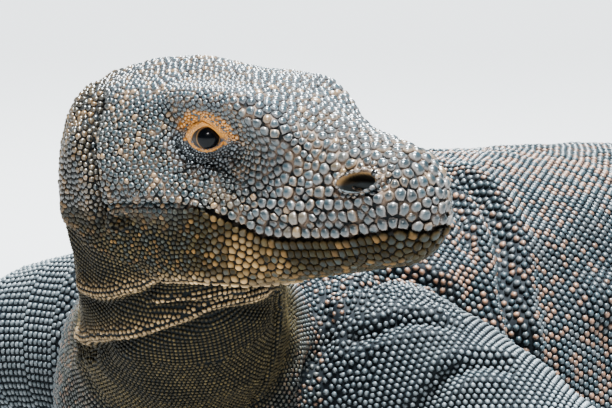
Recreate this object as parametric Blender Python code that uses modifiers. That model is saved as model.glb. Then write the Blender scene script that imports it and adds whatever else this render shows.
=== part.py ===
"""Komodo dragon resting on its belly, head raised and turned to its own left.

Metres, +Z up. The body faces -Y, its left side is +X, and the floor is Z = 0.
Soft forms are lofts that a voxel remesh joins into one body. The floor trims the
belly, soles and tail flat, and thin cuts part that body into its named pieces.
Claws and eyeballs are solids of their own, set in sockets.
"""

import math

import bmesh
import bpy
import numpy as np
from mathutils import Matrix, Vector

# ---------------------------------------------------------------- driving dimensions
HEAD_LENGTH = 0.21  # snout tip to ear opening
CUT = 0.0004  # width of the cuts that part the body
SOCKET_GAP = 0.0004  # room round an eyeball and a claw root
VOXEL = 0.0032
SMOOTH_STEPS = 5
BODY_TRIANGLES = 3350

HEAD_BACK = Vector((0.090, -0.146, 0.281))  # on the mouth level, under the ear openings
HEAD_YAW = math.radians(92)  # turned from -Y towards +X
HEAD_PITCH = math.radians(3)  # nose down
HEAD_ROLL = math.radians(-3.5)  # right side down

EYE_RADIUS = 0.0109
EYE_PLACE = (0.124, 0.650, 0.150)  # half width, back from the tip, height, in head lengths
NOSTRIL_PLACE = (0.125, 0.181, 0.100)
NOSTRIL_SIZE = (0.020, 0.032, 0.016)
EAR_PLACE = (0.250, 0.985, 0.080)
EAR_SIZE = (0.030, 0.032, 0.080)
SNOUT_START = 0.022  # how far back of the tip mark the solid begins
SNOUT_ROUND = 0.16  # where the snout has its full section

# Head outlines, in head lengths: (back from the tip, half width, height over the mouth level)
CROWN = [(0.15, 0, 0.174), (0.28, 0, 0.206), (0.40, 0, 0.243), (0.50, 0, 0.273),
         (0.62, 0, 0.300), (0.74, 0, 0.314), (0.88, 0, 0.305), (1.12, 0, 0.225)]
BROW = [(0.15, 0.078, 0.152), (0.28, 0.102, 0.166), (0.36, 0.126, 0.186), (0.42, 0.142, 0.222),
        (0.49, 0.159, 0.252), (0.56, 0.168, 0.262), (0.66, 0.170, 0.253), (0.82, 0.170, 0.240),
        (0.95, 0.168, 0.220), (1.12, 0.140, 0.155)]
FACE = [(0.15, 0.120, 0.096), (0.28, 0.127, 0.110), (0.40, 0.132, 0.122), (0.50, 0.140, 0.132),
        (0.60, 0.149, 0.135), (0.66, 0.157, 0.133), (0.73, 0.182, 0.128), (0.82, 0.226, 0.122),
        (0.91, 0.246, 0.110), (0.99, 0.222, 0.095), (1.12, 0.180, 0.080)]
CHEEK = [(0.15, 0.124, 0.035), (0.28, 0.147, 0.018), (0.40, 0.160, 0.010), (0.52, 0.182, 0.020),
         (0.66, 0.222, 0.030), (0.80, 0.256, 0.035), (0.90, 0.262, 0.030), (0.98, 0.236, 0.015),
         (1.12, 0.185, 0.000)]
LIP = [(0.15, 0.114, -0.021), (0.28, 0.140, -0.054), (0.40, 0.157, -0.062), (0.48, 0.173, -0.050),
       (0.56, 0.194, -0.018), (0.66, 0.220, -0.010), (0.80, 0.242, -0.022), (0.92, 0.246, -0.050),
       (1.12, 0.180, -0.070)]
JAW = [(0.15, 0.088, -0.080), (0.28, 0.118, -0.122), (0.40, 0.140, -0.155), (0.56, 0.164, -0.184),
       (0.75, 0.194, -0.200), (0.95, 0.190, -0.205), (1.12, 0.140, -0.180)]
CHIN = [(0.15, 0, -0.118), (0.30, 0, -0.158), (0.45, 0, -0.195), (0.60, 0, -0.222),
        (0.80, 0, -0.240), (1.12, 0, -0.220)]
MOUTH_CUT = [(-0.06, 0.030), (0.03, 0.010), (0.11, -0.009), (0.22, -0.043), (0.38, -0.061),
             (0.45, -0.058), (0.52, -0.032), (0.58, -0.010), (0.68, -0.010), (0.75, -0.045),
             (0.79, -0.120), (0.80, -0.213)]

# Neck, trunk and tail: centre x, y, z, half width, half height, from inside the head to the tail tip
SPINE = [(0.168, -0.143, 0.2900, 0.0400, 0.0400), (0.132, -0.145, 0.2900, 0.0480, 0.0500),
         (0.110, -0.142, 0.2700, 0.0520, 0.0520), (0.098, -0.123, 0.2370, 0.0555, 0.0555),
         (0.078, -0.098, 0.2050, 0.0560, 0.0580), (0.047, -0.062, 0.1770, 0.0620, 0.0650),
         (0.018, -0.018, 0.1420, 0.0900, 0.0930), (0.000, 0.050, 0.1240, 0.1160, 0.1150),
         (0.000, 0.150, 0.1180, 0.1360, 0.1260), (0.000, 0.300, 0.1150, 0.1530, 0.1270),
         (0.000, 0.480, 0.1070, 0.1420, 0.1170), (0.000, 0.620, 0.0940, 0.1140, 0.1010),
         (-0.004, 0.760, 0.0740, 0.0790, 0.0780), (-0.016, 0.920, 0.0590, 0.0600, 0.0625),
         (-0.048, 1.120, 0.0480, 0.0460, 0.0510), (-0.095, 1.330, 0.0375, 0.0345, 0.0405),
         (-0.130, 1.540, 0.0275, 0.0245, 0.0305), (-0.120, 1.740, 0.0185, 0.0160, 0.0210),
         (-0.065, 1.910, 0.0110, 0.0095, 0.0130), (0.010, 2.040, 0.0060, 0.0045, 0.0072)]

# A limb: joints from root to wrist as (x, y, z, half width, half height). Left side; the right one
# takes its own list, because the animal doesn't lie symmetrically.
LIMBS = {
    "left_arm": [(0.050, 0.040, 0.136, 0.056, 0.068), (0.106, 0.044, 0.132, 0.052, 0.066),
                 (0.160, 0.066, 0.115, 0.044, 0.052), (0.203, 0.086, 0.086, 0.036, 0.039),
                 (0.222, 0.046, 0.062, 0.032, 0.032), (0.231, -0.006, 0.037, 0.024, 0.023),
                 (0.236, -0.046, 0.021, 0.022, 0.017)],
    "right_arm": [(-0.050, 0.040, 0.138, 0.054, 0.066), (-0.106, 0.036, 0.138, 0.050, 0.062),
                  (-0.166, 0.032, 0.132, 0.044, 0.049), (-0.224, 0.034, 0.106, 0.037, 0.041),
                  (-0.234, -0.012, 0.070, 0.032, 0.032), (-0.232, -0.066, 0.040, 0.024, 0.023),
                  (-0.232, -0.106, 0.021, 0.022, 0.017)],
    "left_leg": [(0.040, 0.620, 0.100, 0.062, 0.066), (0.100, 0.600, 0.104, 0.058, 0.062),
                 (0.168, 0.560, 0.096, 0.048, 0.054), (0.222, 0.535, 0.072, 0.040, 0.042),
                 (0.236, 0.592, 0.054, 0.037, 0.036), (0.248, 0.658, 0.034, 0.025, 0.025),
                 (0.268, 0.688, 0.021, 0.023, 0.018)],
    "right_leg": [(-0.040, 0.620, 0.100, 0.062, 0.066), (-0.098, 0.612, 0.104, 0.058, 0.062),
                  (-0.166, 0.590, 0.096, 0.048, 0.054), (-0.222, 0.588, 0.072, 0.040, 0.042),
                  (-0.240, 0.650, 0.054, 0.037, 0.036), (-0.256, 0.716, 0.034, 0.025, 0.025),
                  (-0.278, 0.746, 0.021, 0.023, 0.018)],
}
# Where each foot points, from -Y towards +X, and its palm length and half width
FEET = {
    "left_arm": (12, 0.040, 0.026), "right_arm": (-14, 0.040, 0.026),
    "left_leg": (62, 0.046, 0.025), "right_leg": (-56, 0.046, 0.025),
}
# Digits: angle out from the foot's own direction (first digit innermost), and length past the palm
FRONT_DIGITS = [(-46, 0.032), (-20, 0.044), (2, 0.048), (24, 0.044), (52, 0.033)]
HIND_DIGITS = [(-34, 0.034), (-14, 0.048), (2, 0.060), (18, 0.070), (58, 0.042)]
DIGIT_RADIUS = 0.0082
CLAW_LENGTH = {"arm": 0.024, "leg": 0.021}

# Cuts across the spine, at these places on its list; the first cut is a slope under the jaw
JAW_SLOPE = ((0.09, 0.97, -0.145), (0, 0.19, -0.54), 0.42)  # centre, normal, half, head lengths
SPINE_CUTS = (3.85, 5.0, 8.5, 9.85, 12.0, 13.5, 15.2, 17.0)
SPINE_NAMES = ["neck_lower", "chest", "belly", "pelvis", "tail_base", "tail_upper", "tail_lower", "tail_tip"]
ROOT_CUT = 0.158  # a limb is cut off beside the trunk, this far out
ELBOW = 3  # joint of an elbow or a knee
LIMB_NAMES = {"arm": ("upper_arm", "forearm", "hand"), "leg": ("thigh", "shank", "foot")}

SCALE_GREY = (0.085, 0.095, 0.098, 1)
BELLY_GREY = (0.120, 0.110, 0.095, 1)
THROAT_TAN = (0.135, 0.105, 0.065, 1)
CLAW_HORN = (0.060, 0.052, 0.045, 1)
EYE_DARK = (0.020, 0.016, 0.013, 1)


# ---------------------------------------------------------------- small tools
def through(keys, where):
    """Rows of values at `where`, on a smooth curve through keys whose first column is the place."""
    keys = np.array(keys, float)
    at, values = keys[:, 0], keys[:, 1:]
    slopes = np.gradient(values, at, axis=0)
    where = np.clip(np.atleast_1d(np.asarray(where, float)), at[0], at[-1])
    i = np.clip(np.searchsorted(at, where, side="right") - 1, 0, len(at) - 2)
    gap = (at[i + 1] - at[i])[:, None]
    t = (where - at[i])[:, None] / gap
    return (
        (2 * t**3 - 3 * t**2 + 1) * values[i]
        + (t**3 - 2 * t**2 + t) * gap * slopes[i]
        + (3 * t**2 - 2 * t**3) * values[i + 1]
        + (t**3 - t**2) * gap * slopes[i + 1]
    )


def numbered(rows):
    """Rows with their own index put in front, so that `through` runs along the list."""
    return [(i, *row) for i, row in enumerate(rows)]


def link(name, mesh, collection):
    made = bpy.data.objects.new(name, mesh)
    collection.objects.link(made)
    return made


def loft(rings):
    """A closed mesh through rings of points, from the first ring to the last, with flat ends."""
    mesh = bpy.data.meshes.new("loft")
    shape = bmesh.new()
    loops = [[shape.verts.new(point) for point in ring] for ring in rings]
    around = len(loops[0])
    for a, b in zip(loops, loops[1:]):
        for j in range(around):
            k = (j + 1) % around
            shape.faces.new((a[j], a[k], b[k], b[j]))
    shape.faces.new(loops[0])
    shape.faces.new(loops[-1])
    bmesh.ops.recalc_face_normals(shape, faces=shape.faces)
    shape.to_mesh(mesh)
    shape.free()
    return mesh


def frames_along(centres):
    """At each centre: the direction on along the line, the side and the up of its cross-section."""
    ahead = np.gradient(np.array(centres, float), axis=0)
    ahead /= np.linalg.norm(ahead, axis=1)[:, None]
    side = np.cross(ahead, (0, 0, 1))
    side /= np.linalg.norm(side, axis=1)[:, None]
    return ahead, side, np.cross(side, ahead)


def tube_rings(rows, steps, around, square=2.25):
    """Rounded rings along rows of (x, y, z, half width, half height)."""
    rows = through(numbered(rows), np.linspace(0, len(rows) - 1, steps))
    centre, width, height = rows[:, :3], rows[:, 3], rows[:, 4]
    _, side, up = frames_along(centre)
    turn = np.linspace(0, 2 * np.pi, around, endpoint=False)
    x = np.sign(np.cos(turn)) * np.abs(np.cos(turn)) ** (2 / square)
    z = np.sign(np.sin(turn)) * np.abs(np.sin(turn)) ** (2 / square)
    return (
        centre[:, None]
        + side[:, None] * (width[:, None] * x)[..., None]
        + up[:, None] * (height[:, None] * z)[..., None]
    )


def apply_modifiers(obj):
    """Makes the evaluated mesh the object's own."""
    graph = bpy.context.evaluated_depsgraph_get()
    mesh = bpy.data.meshes.new_from_object(obj.evaluated_get(graph))
    obj.modifiers.clear()
    old, obj.data = obj.data, mesh
    bpy.data.meshes.remove(old)


def boolean(obj, cutter, operation="DIFFERENCE"):
    step = obj.modifiers.new(operation.title(), "BOOLEAN")
    step.operation = operation
    step.object = cutter
    apply_modifiers(obj)


def ellipsoid(name, collection, matrix, size, segments=16, rings=10):
    mesh = bpy.data.meshes.new(name)
    shape = bmesh.new()
    bmesh.ops.create_uvsphere(shape, u_segments=segments, v_segments=rings, radius=1)
    bmesh.ops.transform(shape, matrix=matrix @ Matrix.Diagonal((*size, 1)), verts=shape.verts)
    shape.to_mesh(mesh)
    shape.free()
    return link(name, mesh, collection)


def slab(name, collection, centre, normal, half, thick):
    """A thin square plate across `normal`."""
    turn = Vector(normal).to_track_quat("Z", "Y").to_matrix().to_4x4()
    mesh = bpy.data.meshes.new(name)
    shape = bmesh.new()
    bmesh.ops.create_cube(shape, size=1)
    fit = Matrix.Translation(centre) @ turn @ Matrix.Diagonal((2 * half, 2 * half, thick, 1))
    bmesh.ops.transform(shape, matrix=fit, verts=shape.verts)
    shape.to_mesh(mesh)
    shape.free()
    return link(name, mesh, collection)


def material(name, colour, roughness):
    made = bpy.data.materials.new(name)
    made.use_nodes = True
    shader = made.node_tree.nodes["Principled BSDF"]
    shader.inputs["Base Color"].default_value = colour
    shader.inputs["Roughness"].default_value = roughness
    shader.inputs["Metallic"].default_value = 0
    made.diffuse_color = colour
    return made


# ---------------------------------------------------------------- head
def head_matrix():
    """Head lengths from the snout tip (left, back, up) to metres in the body's frame."""
    turn = (
        Matrix.Rotation(HEAD_YAW, 4, "Z")
        @ Matrix.Rotation(HEAD_PITCH, 4, "X")
        @ Matrix.Rotation(HEAD_ROLL, 4, "Y")
    )
    return (
        Matrix.Translation(HEAD_BACK)
        @ turn
        @ Matrix.Scale(HEAD_LENGTH, 4)
        @ Matrix.Translation((0, -1, 0))
    )


def head_section(back, around):
    """One cross-section of the head, as (left, back, up) in head lengths."""
    place = max(back, SNOUT_ROUND)
    crown, brow, face, cheek, lip, jaw, chin = (
        through(line, place)[0] for line in (CROWN, BROW, FACE, CHEEK, LIP, JAW, CHIN)
    )
    top_side = (crown + brow) / 2 + (0, 0.006)
    low_side = (jaw + chin) / 2 - (0, 0.006)
    half = np.array([crown, top_side, brow, face, cheek, lip, jaw, low_side, chin])
    mirrored = half[-2:0:-1] * (-1, 1)
    loop = np.concatenate([half, mirrored])
    loop = np.concatenate([loop[-2:], loop, loop[:2]])
    at = np.arange(len(loop)) - 2
    count = len(loop) - 4
    ring = through(np.column_stack([at, loop]), np.linspace(0, count, around, endpoint=False))
    if back < SNOUT_ROUND:
        left = (SNOUT_ROUND - back) / (SNOUT_ROUND - SNOUT_START)
        middle = np.array((0, 0.022))
        ring = middle + (ring - middle) * ((1 - left**2) ** 0.5, (1 - left**2.1) ** 0.5)
    return np.column_stack([ring[:, 0], np.full(around, back), ring[:, 1]])


def head_rings(around=44):
    rounding = 1 - np.cos(np.linspace(0.10, np.pi / 2, 12))
    nose = SNOUT_START + (SNOUT_ROUND - SNOUT_START) * rounding
    rest = np.linspace(SNOUT_ROUND, 1.10, 34)[1:]
    to_world = np.array(head_matrix())
    rings = np.array([head_section(back, around) for back in (*nose, *rest)])
    return rings @ to_world[:3, :3].T + to_world[:3, 3]


def head_place(place, side):
    """A place given as (half width, back, height) in head lengths, on one side (1 left, -1 right)."""
    return head_matrix() @ Vector((side * place[0], place[1], place[2]))


def head_feature(name, collection, place, size, side, extra=0.0, **detail):
    """An ellipsoid that lies along the head's own axes. Its half sizes are in head lengths."""
    turn = head_matrix().to_3x3().normalized().to_4x4()
    half = [HEAD_LENGTH * s + extra for s in size]
    spot = Matrix.Translation(head_place(place, side)) @ turn
    return ellipsoid(name, collection, spot, half, **detail)


def mouth_cutter(collection):
    """A thin sheet along the mouth line that turns down behind the jaw, across the whole head."""
    rows = through(numbered([(b, h) for b, h in MOUTH_CUT]), np.linspace(0, len(MOUTH_CUT) - 1, 40))
    mesh = bpy.data.meshes.new("mouth_cut")
    shape = bmesh.new()
    lines = [
        [shape.verts.new(head_matrix() @ Vector((side, b, h))) for b, h in rows]
        for side in (0.42, -0.42)
    ]
    for (a, b), (c, d) in zip(zip(lines[0], lines[0][1:]), zip(lines[1], lines[1][1:])):
        shape.faces.new((a, b, d, c))
    shape.to_mesh(mesh)
    shape.free()
    sheet = link("mouth_cut", mesh, collection)
    thick = sheet.modifiers.new("Solidify", "SOLIDIFY")
    thick.thickness = CUT
    thick.offset = 0
    apply_modifiers(sheet)
    return sheet


# ---------------------------------------------------------------- limbs
def heading(degrees):
    """The level direction this far round from -Y towards +X."""
    a = math.radians(degrees)
    return np.array((math.sin(a), -math.cos(a), 0.0))


def digit_lines(limb):
    """Each digit's first point, direction and length, from the inner one to the outer one."""
    angle, palm, half = FEET[limb]
    out = 1 if limb.startswith("left") else -1
    digits = FRONT_DIGITS if limb.endswith("arm") else HIND_DIGITS
    wrist = np.array(LIMBS[limb][-1][:3])
    across = np.cross((0, 0, 1), heading(angle))
    for i, (spread, length) in enumerate(digits):
        along = heading(angle + out * spread)
        reach = palm * (1 - 0.10 * abs(i - 2))
        start = wrist + heading(angle) * reach * 0.62 + across * out * half * (i - 2) / 2.4
        yield start, along, length + 0.018


def foot_meshes(limb):
    """The palm and the digits of one foot, as overlapping lofts."""
    angle, palm, half = FEET[limb]
    wrist = np.array(LIMBS[limb][-1][:3])
    ahead = heading(angle)
    palm_rows = [
        (*(wrist + ahead * palm * t + (0, 0, -0.004 * t)), half * w, 0.0165 * h)
        for t, w, h in ((-0.45, 0.62, 0.95), (0.0, 0.88, 1.08), (0.5, 1.04, 1.0), (0.95, 0.72, 0.72))
    ]
    yield loft(tube_rings(palm_rows, 10, 16))
    for start, along, length in digit_lines(limb):
        rows = [
            (*(start[:2] + along[:2] * length * t), z, DIGIT_RADIUS * r, DIGIT_RADIUS * r)
            for t, z, r in ((0, 0.0125, 1.1), (0.35, 0.0120, 1.02), (0.7, 0.0080, 0.94),
                            (0.92, 0.0074, 0.86), (1.0, 0.0074, 0.55))
        ]
        yield loft(tube_rings(rows, 14, 12))


def claw_mesh(start, along, length, claw, grow=0.0):
    """A horn that leaves the digit's end and curves down to just over the floor."""
    base = start + along * (length - 0.0065)
    t = np.array((0, 0.4, 0.75, 1))
    centre = np.column_stack([
        base[0] + along[0] * claw * t,
        base[1] + along[1] * claw * t,
        0.0088 + 0.0042 * np.sin(np.pi * 0.75 * t) - 0.0092 * t**2,
    ])
    _, side, up = frames_along(centre)
    radius = 0.0040 * (1 - t) ** 0.75 + 0.0005
    turn = np.linspace(0, 2 * np.pi, 5, endpoint=False)
    wide = radius[:, None] * np.cos(turn) * 0.72
    tall = radius[:, None] * np.sin(turn)
    wide += grow * np.cos(turn)
    tall += grow * np.sin(turn)
    return loft(centre[:, None] + side[:, None] * wide[..., None] + up[:, None] * tall[..., None])


# ---------------------------------------------------------------- whole body, then its pieces
def whole_body(collection):
    """All lofts joined by a voxel remesh, smoothed, thinned out and trimmed flat at the floor."""
    meshes = [loft(tube_rings(SPINE, 96, 36)), loft(head_rings())]
    for limb, rows in LIMBS.items():
        meshes.append(loft(tube_rings(rows, 30, 20, square=2.1)))
        meshes.extend(foot_meshes(limb))
    joined = bmesh.new()
    for mesh in meshes:
        joined.from_mesh(mesh)
        bpy.data.meshes.remove(mesh)
    mesh = bpy.data.meshes.new("body")
    joined.to_mesh(mesh)
    joined.free()
    body = link("body", mesh, collection)
    remesh = body.modifiers.new("Remesh", "REMESH")
    remesh.mode = "VOXEL"
    remesh.voxel_size = VOXEL
    relax = body.modifiers.new("Smooth", "SMOOTH")
    relax.factor = 0.5
    relax.iterations = SMOOTH_STEPS
    apply_modifiers(body)
    thin = body.modifiers.new("Decimate", "DECIMATE")
    thin.ratio = BODY_TRIANGLES / (2 * len(body.data.polygons))
    apply_modifiers(body)
    return body


def spine_cuts():
    """Centre, direction and half size of each cut across the neck, trunk and tail."""
    centre, normal, half = JAW_SLOPE
    to_body = head_matrix()
    yield to_body @ Vector(centre), to_body.to_3x3() @ Vector(normal), half * HEAD_LENGTH
    for index in SPINE_CUTS:
        fine = through(numbered(SPINE), [index - 0.05, index, index + 0.05])
        yield Vector(fine[1, :3]), Vector(fine[2, :3] - fine[0, :3]), 1.2 * max(fine[1, 3:])


def limb_cuts(limb):
    """Centre, direction and half size of the cuts at a limb's root, its elbow or knee, and its wrist."""
    rows = np.array(LIMBS[limb])
    places = np.linspace(0, len(rows) - 1, 200)
    fine = through(numbered(rows), places)
    root = fine[np.argmax(np.abs(fine[:, 0]) > ROOT_CUT)]
    yield Vector(root[:3]), Vector((1, 0, 0)), 1.4 * max(root[3:])
    wrist = rows[-1, :3] - rows[-2, :3]
    bend = heading(FEET[limb][0]) + wrist / np.linalg.norm(wrist)
    for joint, normal in ((ELBOW, rows[ELBOW + 1, :3] - rows[ELBOW - 1, :3]), (len(rows) - 1, bend)):
        yield Vector(rows[joint, :3]), Vector(normal), 2.1 * max(rows[joint, 3:])


def part_by_cuts(body, cutters):
    """Cuts the body across its spine and limbs and along the mouth."""
    for place in spine_cuts():
        boolean(body, slab("spine_cut", cutters, *place, CUT))
    boolean(body, mouth_cutter(cutters))
    for limb in LIMBS:
        for place in limb_cuts(limb):
            boolean(body, slab(f"{limb}_cut", cutters, *place, CUT))


def anchors():
    """A point near the middle of each named piece."""
    found = {
        "head": head_matrix() @ Vector((0, 0.50, 0.12)),
        "lower_jaw": head_matrix() @ Vector((0, 0.42, -0.11)),
        "neck_upper": Vector(through(numbered(SPINE), 3.2)[0, :3]),
    }
    places = (*SPINE_CUTS, len(SPINE) - 1.0)
    for name, a, b in zip(SPINE_NAMES, places, places[1:]):
        found[name] = Vector(through(numbered(SPINE), (a + b) / 2)[0, :3])
    for limb, rows in LIMBS.items():
        side, kind = limb.split("_")
        toes = np.array(rows[-1][:3]) + heading(FEET[limb][0]) * 0.05
        upper, lower, foot = LIMB_NAMES[kind]
        found[f"{side}_{upper}"] = Vector(through(numbered(rows), ELBOW - 0.6)[0, :3])
        found[f"{side}_{lower}"] = Vector(through(numbered(rows), ELBOW + 1.4)[0, :3])
        found[f"{side}_{foot}"] = Vector(toes)
    return found


def islands(body):
    """The loose pieces of a mesh, each as its own mesh."""
    shape = bmesh.new()
    shape.from_mesh(body.data)
    left = set(shape.verts)
    while left:
        piece, front = set(), [left.pop()]
        while front:
            vert = front.pop()
            piece.add(vert)
            for edge in vert.link_edges:
                other = edge.other_vert(vert)
                if other in left:
                    left.discard(other)
                    front.append(other)
        part = bmesh.new()
        copies = {vert: part.verts.new(vert.co) for vert in piece}
        for face in {face for vert in piece for face in vert.link_faces}:
            part.faces.new([copies[vert] for vert in face.verts])
        mesh = bpy.data.meshes.new("piece")
        part.to_mesh(mesh)
        part.free()
        yield mesh
    shape.free()


def middle(mesh):
    points = np.array([vert.co for vert in mesh.vertices])
    return Vector((points.min(0) + points.max(0)) / 2)


def separate(body, collection):
    """One object for each loose piece, named after the nearest anchor."""
    names = anchors()
    made = {}
    for mesh in islands(body):
        at = middle(mesh)
        name = min(names, key=lambda n: (names[n] - at).length)
        if name in made:
            name = f"extra_{name}_{len(made)}"
        made[name] = link(name, mesh, collection)
    bpy.data.objects.remove(body)
    return made


def add_claws(pieces, collection, cutters):
    """Sets a claw in the end of each digit."""
    for limb in LIMBS:
        side, kind = limb.split("_")
        foot = pieces[f"{side}_{LIMB_NAMES[kind][2]}"]
        for number, (start, along, length) in enumerate(digit_lines(limb), 1):
            claw = CLAW_LENGTH[kind]
            hole = link("claw_hole", claw_mesh(start, along, length, claw, SOCKET_GAP), cutters)
            boolean(foot, hole)
            name = f"{side}_{'front' if kind == 'arm' else 'hind'}_claw_{number}"
            pieces[name] = link(name, claw_mesh(start, along, length, claw), collection)


def add_eyes(pieces, collection, cutters):
    head = pieces["head"]
    size = (EYE_RADIUS / HEAD_LENGTH,) * 3
    for side, name in ((1, "left"), (-1, "right")):
        boolean(head, head_feature("socket", cutters, EYE_PLACE, size, side, SOCKET_GAP, segments=14, rings=10))
        pieces[f"{name}_eye"] = head_feature(
            f"{name}_eye", collection, EYE_PLACE, size, side, segments=14, rings=10
        )


def open_nostrils_and_ears(pieces, cutters):
    for side in (1, -1):
        for place, size in ((NOSTRIL_PLACE, NOSTRIL_SIZE), (EAR_PLACE, EAR_SIZE)):
            cutter = head_feature("opening", cutters, place, size, side, segments=12, rings=8)
            boolean(pieces["head"], cutter)


def trim_at_floor(body, cutters):
    """Cuts away what lies under the floor, which leaves flats at one level."""
    mesh = bpy.data.meshes.new("floor")
    shape = bmesh.new()
    bmesh.ops.create_cube(shape, size=1)
    fit = Matrix.Translation((0, 0.9, -0.1)) @ Matrix.Diagonal((1.4, 3.4, 0.2, 1))
    bmesh.ops.transform(shape, matrix=fit, verts=shape.verts)
    shape.to_mesh(mesh)
    shape.free()
    boolean(body, link("floor", mesh, cutters))


def give_materials(pieces):
    finishes = {
        "scaled_skin": material("scaled_skin", SCALE_GREY, 0.62),
        "throat_skin": material("throat_skin", THROAT_TAN, 0.66),
        "claw_horn": material("claw_horn", CLAW_HORN, 0.38),
        "eye": material("eye", EYE_DARK, 0.08),
    }
    for name, obj in pieces.items():
        kind = "scaled_skin"
        if "claw" in name:
            kind = "claw_horn"
        elif name.endswith("_eye"):
            kind = "eye"
        elif name in ("lower_jaw", "neck_upper", "neck_lower"):
            kind = "throat_skin"
        obj.data.materials.clear()
        obj.data.materials.append(finishes[kind])
        obj.data.shade_smooth()
        obj.data.set_sharp_from_angle(angle=math.radians(50))


def centre_on_floor(pieces):
    """Moves the model so that its box stands centred on the origin."""
    corners = np.array([vert.co for obj in pieces.values() for vert in obj.data.vertices])
    low, high = corners.min(0), corners.max(0)
    shift = Matrix.Translation((-(low[0] + high[0]) / 2, -(low[1] + high[1]) / 2, 0))
    for obj in pieces.values():
        obj.data.transform(shift)


def main():
    for obj in list(bpy.data.objects):
        bpy.data.objects.remove(obj)
    scene = bpy.context.scene.collection
    parts = bpy.data.collections.new("komodo_dragon")
    cutters = bpy.data.collections.new("cutters")
    scene.children.link(parts)
    scene.children.link(cutters)
    body = whole_body(parts)
    trim_at_floor(body, cutters)
    part_by_cuts(body, cutters)
    pieces = separate(body, parts)
    add_claws(pieces, parts, cutters)
    add_eyes(pieces, parts, cutters)
    open_nostrils_and_ears(pieces, cutters)
    centre_on_floor(pieces)
    for obj in list(cutters.objects):
        bpy.data.objects.remove(obj)
    bpy.data.collections.remove(cutters)
    give_materials(pieces)


main()
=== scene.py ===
"""Looks of the Komodo dragon: one folded skin, the scales on it, eyes, claws, light and camera.

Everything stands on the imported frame. Head shapes use head coordinates: left, back from the
snout tip, and up, in head lengths. Other places are metres in the body's own frame, which SHIFT
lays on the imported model. Heights and widths of folds and lids are in millimetres, by MM.
"""
import math

import bmesh
import bpy
import numpy as np
from mathutils import Matrix, Vector
from mathutils.bvhtree import BVHTree
from mathutils.kdtree import KDTree


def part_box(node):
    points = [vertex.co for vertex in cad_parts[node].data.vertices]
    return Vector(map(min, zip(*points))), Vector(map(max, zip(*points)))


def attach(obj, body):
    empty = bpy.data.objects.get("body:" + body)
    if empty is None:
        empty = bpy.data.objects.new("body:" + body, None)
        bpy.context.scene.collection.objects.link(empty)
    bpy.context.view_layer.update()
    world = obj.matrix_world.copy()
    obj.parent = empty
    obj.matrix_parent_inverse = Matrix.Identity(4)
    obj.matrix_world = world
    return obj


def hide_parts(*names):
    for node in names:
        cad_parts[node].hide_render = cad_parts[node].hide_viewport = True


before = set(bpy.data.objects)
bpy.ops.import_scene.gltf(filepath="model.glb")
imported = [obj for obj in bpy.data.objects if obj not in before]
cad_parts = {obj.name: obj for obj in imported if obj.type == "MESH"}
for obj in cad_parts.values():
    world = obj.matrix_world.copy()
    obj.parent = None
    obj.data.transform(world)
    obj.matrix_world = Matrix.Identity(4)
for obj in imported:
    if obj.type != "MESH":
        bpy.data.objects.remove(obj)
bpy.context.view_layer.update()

MM = 0.001
SIDES = ("left", "right")

# ---------------------------------------------------------------- the body's own measures
HEAD_LENGTH = 0.21
HEAD_TURN = (92, 3, -3.5)  # yaw, pitch and roll in degrees
HEAD_BACK = Vector((0.090, -0.146, 0.281))
EYE_MIDDLE = Vector((0, 0.650, 0.150))  # between the two eyeballs
EYE_RADIUS = 0.0109
EYE_LOOK = Vector((0.78, -0.61, 0.15))  # out, back and up: where the left eye's opening faces
GAZE = Vector((0.73, -0.67, 0.14))  # and where its pupil looks
LID_ROOM = (46, 33, 30)  # half the opening in degrees: along, above and below
NOSTRIL = Vector((0.125, 0.176, 0.102))
NOSTRIL_HALF = (8.2 * MM, 3.6 * MM)
NOSTRIL_TILT = -12

SPINE = [(0.168, -0.143, 0.290, 0.040, 0.040), (0.132, -0.145, 0.290, 0.048, 0.050),
         (0.110, -0.142, 0.270, 0.052, 0.052), (0.098, -0.123, 0.237, 0.0555, 0.0555),
         (0.078, -0.098, 0.205, 0.056, 0.058), (0.047, -0.062, 0.177, 0.062, 0.065),
         (0.018, -0.018, 0.142, 0.090, 0.093), (0.000, 0.050, 0.124, 0.116, 0.115),
         (0.000, 0.150, 0.118, 0.136, 0.126), (0.000, 0.300, 0.115, 0.153, 0.127),
         (0.000, 0.480, 0.107, 0.142, 0.117), (0.000, 0.620, 0.094, 0.114, 0.101),
         (-0.004, 0.760, 0.074, 0.079, 0.078), (-0.016, 0.920, 0.059, 0.060, 0.0625),
         (-0.048, 1.120, 0.048, 0.046, 0.051), (-0.095, 1.330, 0.0375, 0.0345, 0.0405),
         (-0.130, 1.540, 0.0275, 0.0245, 0.0305), (-0.120, 1.740, 0.0185, 0.016, 0.021),
         (-0.065, 1.910, 0.011, 0.0095, 0.013), (0.010, 2.040, 0.006, 0.0045, 0.0072)]
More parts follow.
